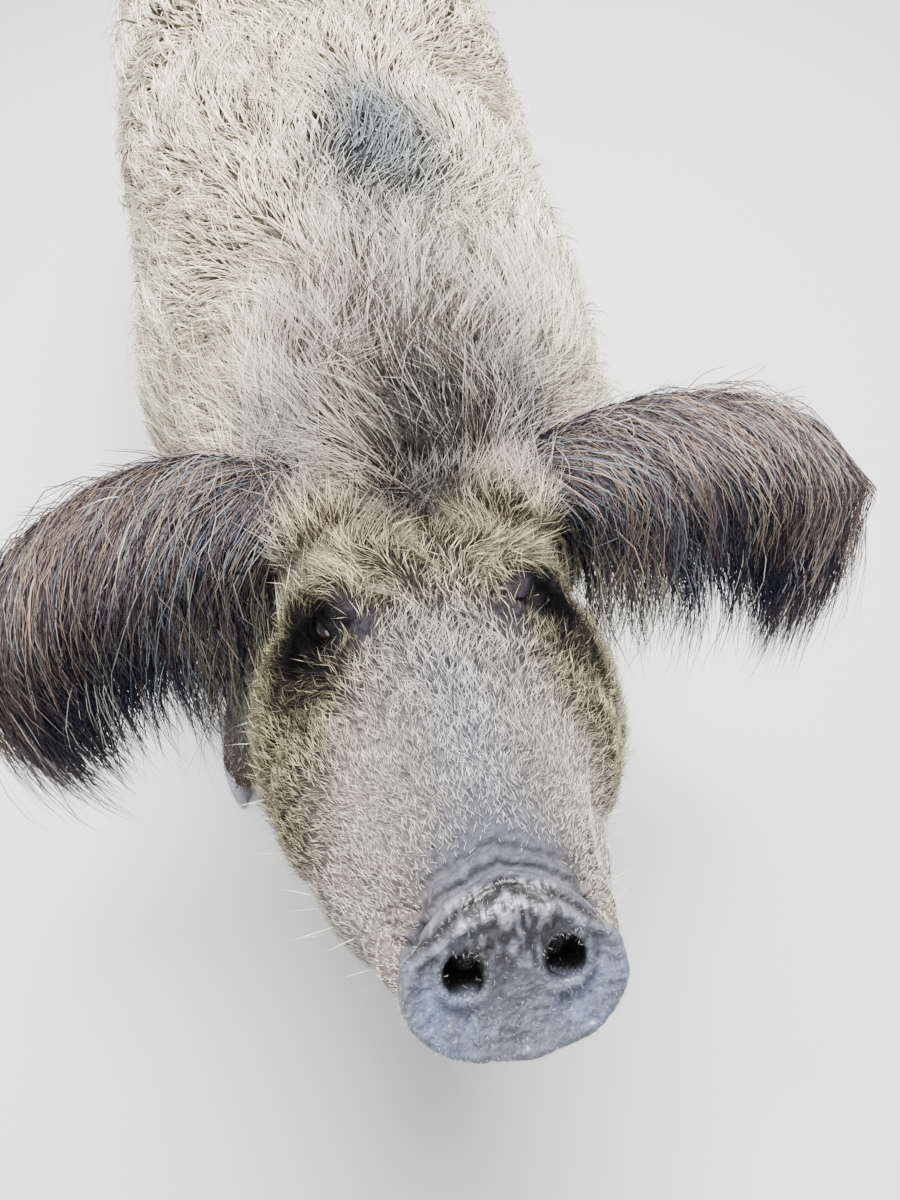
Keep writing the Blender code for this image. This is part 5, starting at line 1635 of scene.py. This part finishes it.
def ear_colours(name, inside, share, along, start, rear, wisp, strand):
    """Colours along the hair: brown or black, with silver, grey and ginger strands in it."""
    count = len(along)
    black = np.tile(EAR_BLACK, (count, 1))
    root_colour = mixed(black, EAR_BROWN_ROOT, rear)
    faded = rng.uniform(0.0, 1.0, count)
    middle_colour = mixed(black, EAR_BROWN, np.clip(rear * (0.3 + faded), 0.0, 1.0))
    tip_colour = mixed(black * 1.3, EAR_BROWN, np.clip(0.15 + 0.75 * faded, 0.0, 1.0))
    silver = strand > 0.86
    grey = (strand > 0.40) & ~silver & (along + 0.12 * rng.normal(0.0, 1.0, count) < 0.42)
    grey &= (start > -0.50) | (rng.uniform(0.0, 1.0, count) < 0.35)
    ginger = (strand < (0.26 if name == "left" else 0.10) * rear) | (wisp & (strand < 0.45))
    glint = rng.uniform(0.35, 1.05, count)[:, None]
    strands = ((silver, EAR_SILVER, 0.45), (grey, EAR_GREY, 0.35), (ginger, EAR_GINGER, 0.30))
    for chosen, shade, under in strands:
        root_colour[chosen] = shade * under * glint[chosen]
        middle_colour[chosen] = shade * glint[chosen]
        tip_colour[chosen] = shade * 0.75 * glint[chosen]
    if inside:
        near_cheek = 1.0 - ramp(along + 0.15 * rng.normal(0, 1, count), 0.20, 0.65)
        middle_colour = mixed(middle_colour, EAR_STRAW * glint, near_cheek * 0.95)
        tip_colour = mixed(tip_colour, EAR_STRAW * glint, near_cheek * 0.95)
        root_colour = mixed(root_colour, EAR_STRAW * 0.3, near_cheek * 0.7)
    # The long hair by the cheek fades to olive straw
    by_cheek = (1.0 - ramp(along, 0.14, 0.32)) * (strand > 0.30) * ramp(start, -0.6, 0.2)
    tip_colour = mixed(tip_colour, EAR_STRAW * 1.2 * glint, 0.90 * by_cheek)
    middle_colour = mixed(middle_colour, EAR_STRAW * glint, 0.55 * by_cheek)
    level = share[..., None]
    colours = mixed(root_colour[:, None, :], middle_colour[:, None, :], ramp(share, 0.02, 0.30))
    colours = colours + (tip_colour[:, None, :] - colours) * ramp(level, 0.55, 1.0)
    brightness = rng.uniform(0.70, 1.20, count) * (1.0 if name == "left" else 0.80 + 0.14 * (1.0 - rear))
    return colours * brightness[:, None, None]


def ear_coat(name, count, inside):
    """The hair of one face of the flap."""
    lines, across, fluff, strands = ear_strands(name, count, inside)
    _, along, start, _, wisp, _ = strands
    colours = ear_colours(name, inside, *strands)
    widths = np.where(wisp | fluff, 0.00075, 0.00105) * rng.uniform(0.45, 1.35, count)
    cell = 0.02 if name == "left" else 0.52
    low = 0.1 if inside else 0.5
    places = np.stack((cell + 0.44 * along, low + 0.35 * (start + 1.05) / 2.05), axis=1)
    label = "inner" if inside else "outer"
    tufts(f"coat_ear_{label}_{name}", lines, across, widths, colours, places, hair=ear_hair)


ear_hair = hair_look("ear_hair", 0.42)
for name in EARS:
    ear_coat(name, OUTER_HAIRS, False)
    ear_coat(name, INNER_HAIRS, True)

# The hair of the legs and the tail
# Close and straight on the legs, shorter and darker towards the feet, with a fringe over the coronets.
# The tail has close hair and ends in a hanging tassel.

LEG_HAIRS = 2000
TAIL_HAIRS = 1300
# The hair over the coronets stays this far off the floor
LOWEST_HAIR = 0.012


def limb_coat(name, part_name, count, lengths_at, lie_at):
    """Close hair of a leg or of the tail, longer from the foot up."""
    low, high = lengths_at
    root, normal, part, lie, length, lift = grown(
        part_of_skin(part_name).astype(float),
        count,
        lambda root, normal: on_skin(lie_at(root), normal),
        0.22,
        lambda root: low + (high - low) * ramp(root[:, 2], 0.05, 0.30),
        lengths=(0.6, 1.3),
        lifts=(0.15, 0.50),
    )
    bend = rng.normal(0.0, 0.18, count)
    sag = np.sin(lift) * rng.uniform(0.3, 0.8, count)
    lines = hair_lines(root, normal, lie, length, lift, bend, sag, 3)
    lines, _ = drawn_together(lines, root, rng.uniform(0.1, 0.6, count), spacing=0.010)
    lines[..., 2] = np.maximum(lines[..., 2], LOWEST_HAIR)
    brightness = rng.uniform(0.7, 1.25, count)
    dark = rng.uniform(0.0, 1.0, count) < 0.12
    colours = hair_shades(*coat_colours(root), 3, brightness, dark, 0.6)
    widths = 0.0018 * rng.uniform(0.6, 1.3, count)
    tufts(name, lines, np.cross(normal, lie), widths, colours, chart(root, part))


def down_the_leg(points):
    return np.tile((0.0, 0.25, -1.0), (len(points), 1))


def down_the_tail(points):
    y = points[:, 1]
    return np.stack((np.zeros(len(y)), 1.0 - ramp(y, 0.86, 0.91), -ramp(y, 0.84, 0.90) - 0.2), axis=1)


for name in STANCE:
    limb_coat(f"coat_leg_{name}", f"leg_{name}", LEG_HAIRS, (0.010, 0.030), down_the_leg)
limb_coat("coat_tail", "tail", TAIL_HAIRS, (0.022, 0.026), down_the_tail)

TASSEL = 420
tail_end, tail_radius = TAIL[-1]
angle = rng.uniform(0.0, 2.0 * math.pi, TASSEL)
height = rng.uniform(0.0, 0.060, TASSEL)
out = np.stack((np.cos(angle), np.sin(angle), np.zeros(TASSEL)), axis=1)
root = np.array(tail_end) + out * tail_radius * 0.7 + Z * height[:, None]
drop = rng.uniform(0.050, 0.115, TASSEL)
share = shares(5)[None, :, None]
flare = rng.uniform(0.002, 0.016, TASSEL)[:, None, None]
lines = root[:, None, :] - Z * drop[:, None, None] * share + out[:, None, :] * flare * np.sin(share * 2.4)
lines[..., 0] += rng.normal(0.0, 0.006, TASSEL)[:, None] * share[..., 0] ** 2
across = np.stack((-out[:, 1], out[:, 0], np.zeros(TASSEL)), axis=1)
root_colour, tip_colour = coat_colours(root)
colours = hair_shades(root_colour * 0.6, tip_colour, 5, rng.uniform(0.6, 1.2, TASSEL), np.zeros(TASSEL, bool))
places = np.stack((angle / (2.0 * math.pi) * 0.99, 0.90 + height), axis=1)
widths = np.full(TASSEL, 0.0017)
tufts("coat_tail_tassel", lines, across, widths, colours, places)

# Lashes, whiskers and the bristles of the snout
# Stiff single hairs: long pale ones along the jaw and the chin, dark lashes over each eye, and a stubble
# of white bristles on the lower rim of the disc.


def stiff_hairs(name, root, way, droop, length, width, colour):
    """Single hairs that stand out from the skin and droop by a share of their length."""
    count = len(root)
    share = shares(4)[None, :, None]
    lines = root[:, None, :] + way[:, None, :] * length[:, None, None] * share
    lines -= Z * (np.broadcast_to(droop, count) * length)[:, None, None] * share**2
    across = unit(np.cross(way, rng.normal(0.0, 1.0, (count, 3))))
    tones = np.tile(colour, (count, 1)) * rng.uniform(0.7, 1.2, count)[:, None]
    colours = np.repeat(tones[:, None, :], 4, axis=1)
    places = rng.uniform(0.05, 0.95, (count, 2))
    tufts(name, lines, across, np.full(count, width), colours, places, flatness=0.9)


WHISKERS = 220
BRISTLES = 1100
BROW_HAIRS = 70
LASHES = 34

back, _, up = head_places(triangle_middles)
jaw = (back > 0.03) & (back < 0.26) & (up < -0.02) & part_of_skin("head")
root, normal, _ = roots_on(jaw.astype(float), WHISKERS)
way = unit(normal + 0.8 * head_lie(root, normal) + rng.normal(0.0, 0.2, root.shape))
reach = rng.uniform(0.018, 0.040, WHISKERS)
stiff_hairs("whiskers", root, way, 0.2, reach, 0.00045, HAIR["cream"][1])

a, b, c, beyond = disc_places(triangle_middles)
well = np.hypot(np.abs(a) - NOSTRIL_SIDE, b)
stubble = 0.12 + ramp(beyond, -0.008, -0.002) + 0.5 * ramp(-b, 0.006, 0.020)
stubble *= (c > -0.010) & (beyond < 0.001)
stubble = stubble + 0.8 * bell(well - 0.0115, 0.0016) * (c > -0.010)
root, normal, _ = roots_on(stubble, BRISTLES)
way = unit(normal + rng.normal(0.0, 0.45, root.shape))
reach = rng.uniform(0.0010, 0.0036, BRISTLES)
stiff_hairs("disc_bristles", root, way, 0.1, reach, 0.00020, HAIR["frost"][1] * 0.55)

# A few long pale hairs hang from each brow across the eye
root, normal, _ = roots_on(brows(triangle_middles)[0] ** 2, BROW_HAIRS)
way = unit(brows(root)[1] + 0.30 * normal + rng.normal(0.0, 0.16, root.shape))
reach = rng.uniform(0.018, 0.036, BROW_HAIRS)
droop = rng.uniform(0.2, 0.9, BROW_HAIRS)
stiff_hairs("brow_hairs", root, way, droop, reach, 0.00032, HAIR["straw"][1] * 0.7)

lash_roots, lash_ways = [], []
for sign in (1, -1):
    along, _, out = eye_axes(sign)
    over = over_eye(sign)
    for angle in np.linspace(0.35, 2.8, LASHES):
        edge = eye_centre(sign) + out * (EYE_RADIUS + 0.0012)
        edge = edge + along * (math.cos(angle) * LID_OPENING[0] * 1.05) + over * (math.sin(angle) * 0.0072)
        lash_roots.append(edge + rng.normal(0.0, 0.0006, 3))
        way = out * 0.9 + over * 0.55 + along * math.cos(angle) * 0.5
        lash_ways.append(unit(way + rng.normal(0.0, 0.12, 3)))
reach = rng.uniform(0.009, 0.017, len(lash_roots))
stiff_hairs("lashes", np.array(lash_roots), np.array(lash_ways), 0.35, reach, 0.00034, HAIR["soot"][0])

# The studio
# A flat pale floor, wide soft lights overhead, in front and behind, and a camera held above the snout
# that looks down along the back.

FLOOR_REACH = 6
SKY_COLOUR = (0.80, 0.83, 0.88, 1.0)
SKY_STRENGTH = 0.68
CAMERA_AT = np.array((-0.0654, -0.6206, 1.0698))
CAMERA_TURN = (30.27, -1.93, -11.55)
CAMERA_LENS = 27.0
CAMERA_FILM = 36.0

floor_stops = ((0.0, (0.60, 0.60, 0.59)), (1.0, (0.66, 0.66, 0.65)))
floor_mesh = bpy.data.meshes.new("floor")
floor_corners = [(FLOOR_REACH * x, FLOOR_REACH * y, 0) for x, y in ((-1, -1), (1, -1), (1, 1), (-1, 1))]
floor_mesh.from_pydata(floor_corners, [], [(0, 1, 2, 3)])
floor_mesh.materials.append(
    look(
        "pale_floor",
        {
            "grain": ("TexNoise", {"Scale": 3.0}),
            "shades": ("ValToRGB", {"Fac": "grain.Fac", "stops": floor_stops}),
            "surface": (None, {"Base Color": "shades.Color", "Roughness": 0.85}),
        },
    )
)
floor = new_object("floor", floor_mesh)

for label, place, aim, size, power in (
    ("overhead", (0.1, 0.3, 2.5), (0.0, -0.1, 0.4), 1.45, 292.0),
    ("front", (-1.4, -2.2, 1.9), (0.0, -0.5, 0.5), 1.8, 48.0),
    ("back", (1.8, 2.2, 1.7), (0.0, 0.3, 0.4), 1.8, 50.0),
):
    lamp = bpy.data.lights.new(label, "AREA")
    lamp.shape = "DISK"
    lamp.size = size
    lamp.energy = power
    light = bpy.data.objects.new(label, lamp)
    bpy.context.scene.collection.objects.link(light)
    light.location = place
    light.rotation_euler = (Vector(aim) - Vector(place)).to_track_quat("-Z", "Y").to_euler()

world = bpy.data.worlds.new("studio")
bpy.context.scene.world = world
world.use_nodes = True
sky = world.node_tree.nodes["Background"].inputs
sky["Color"].default_value = SKY_COLOUR
sky["Strength"].default_value = SKY_STRENGTH

lens = bpy.data.cameras.new("camera")
lens.lens = CAMERA_LENS
lens.sensor_width = CAMERA_FILM
camera = bpy.data.objects.new("camera", lens)
bpy.context.scene.collection.objects.link(camera)
camera.location = CAMERA_AT + SHIFT
camera.rotation_euler = [math.radians(angle) for angle in CAMERA_TURN]
bpy.context.scene.camera = camera
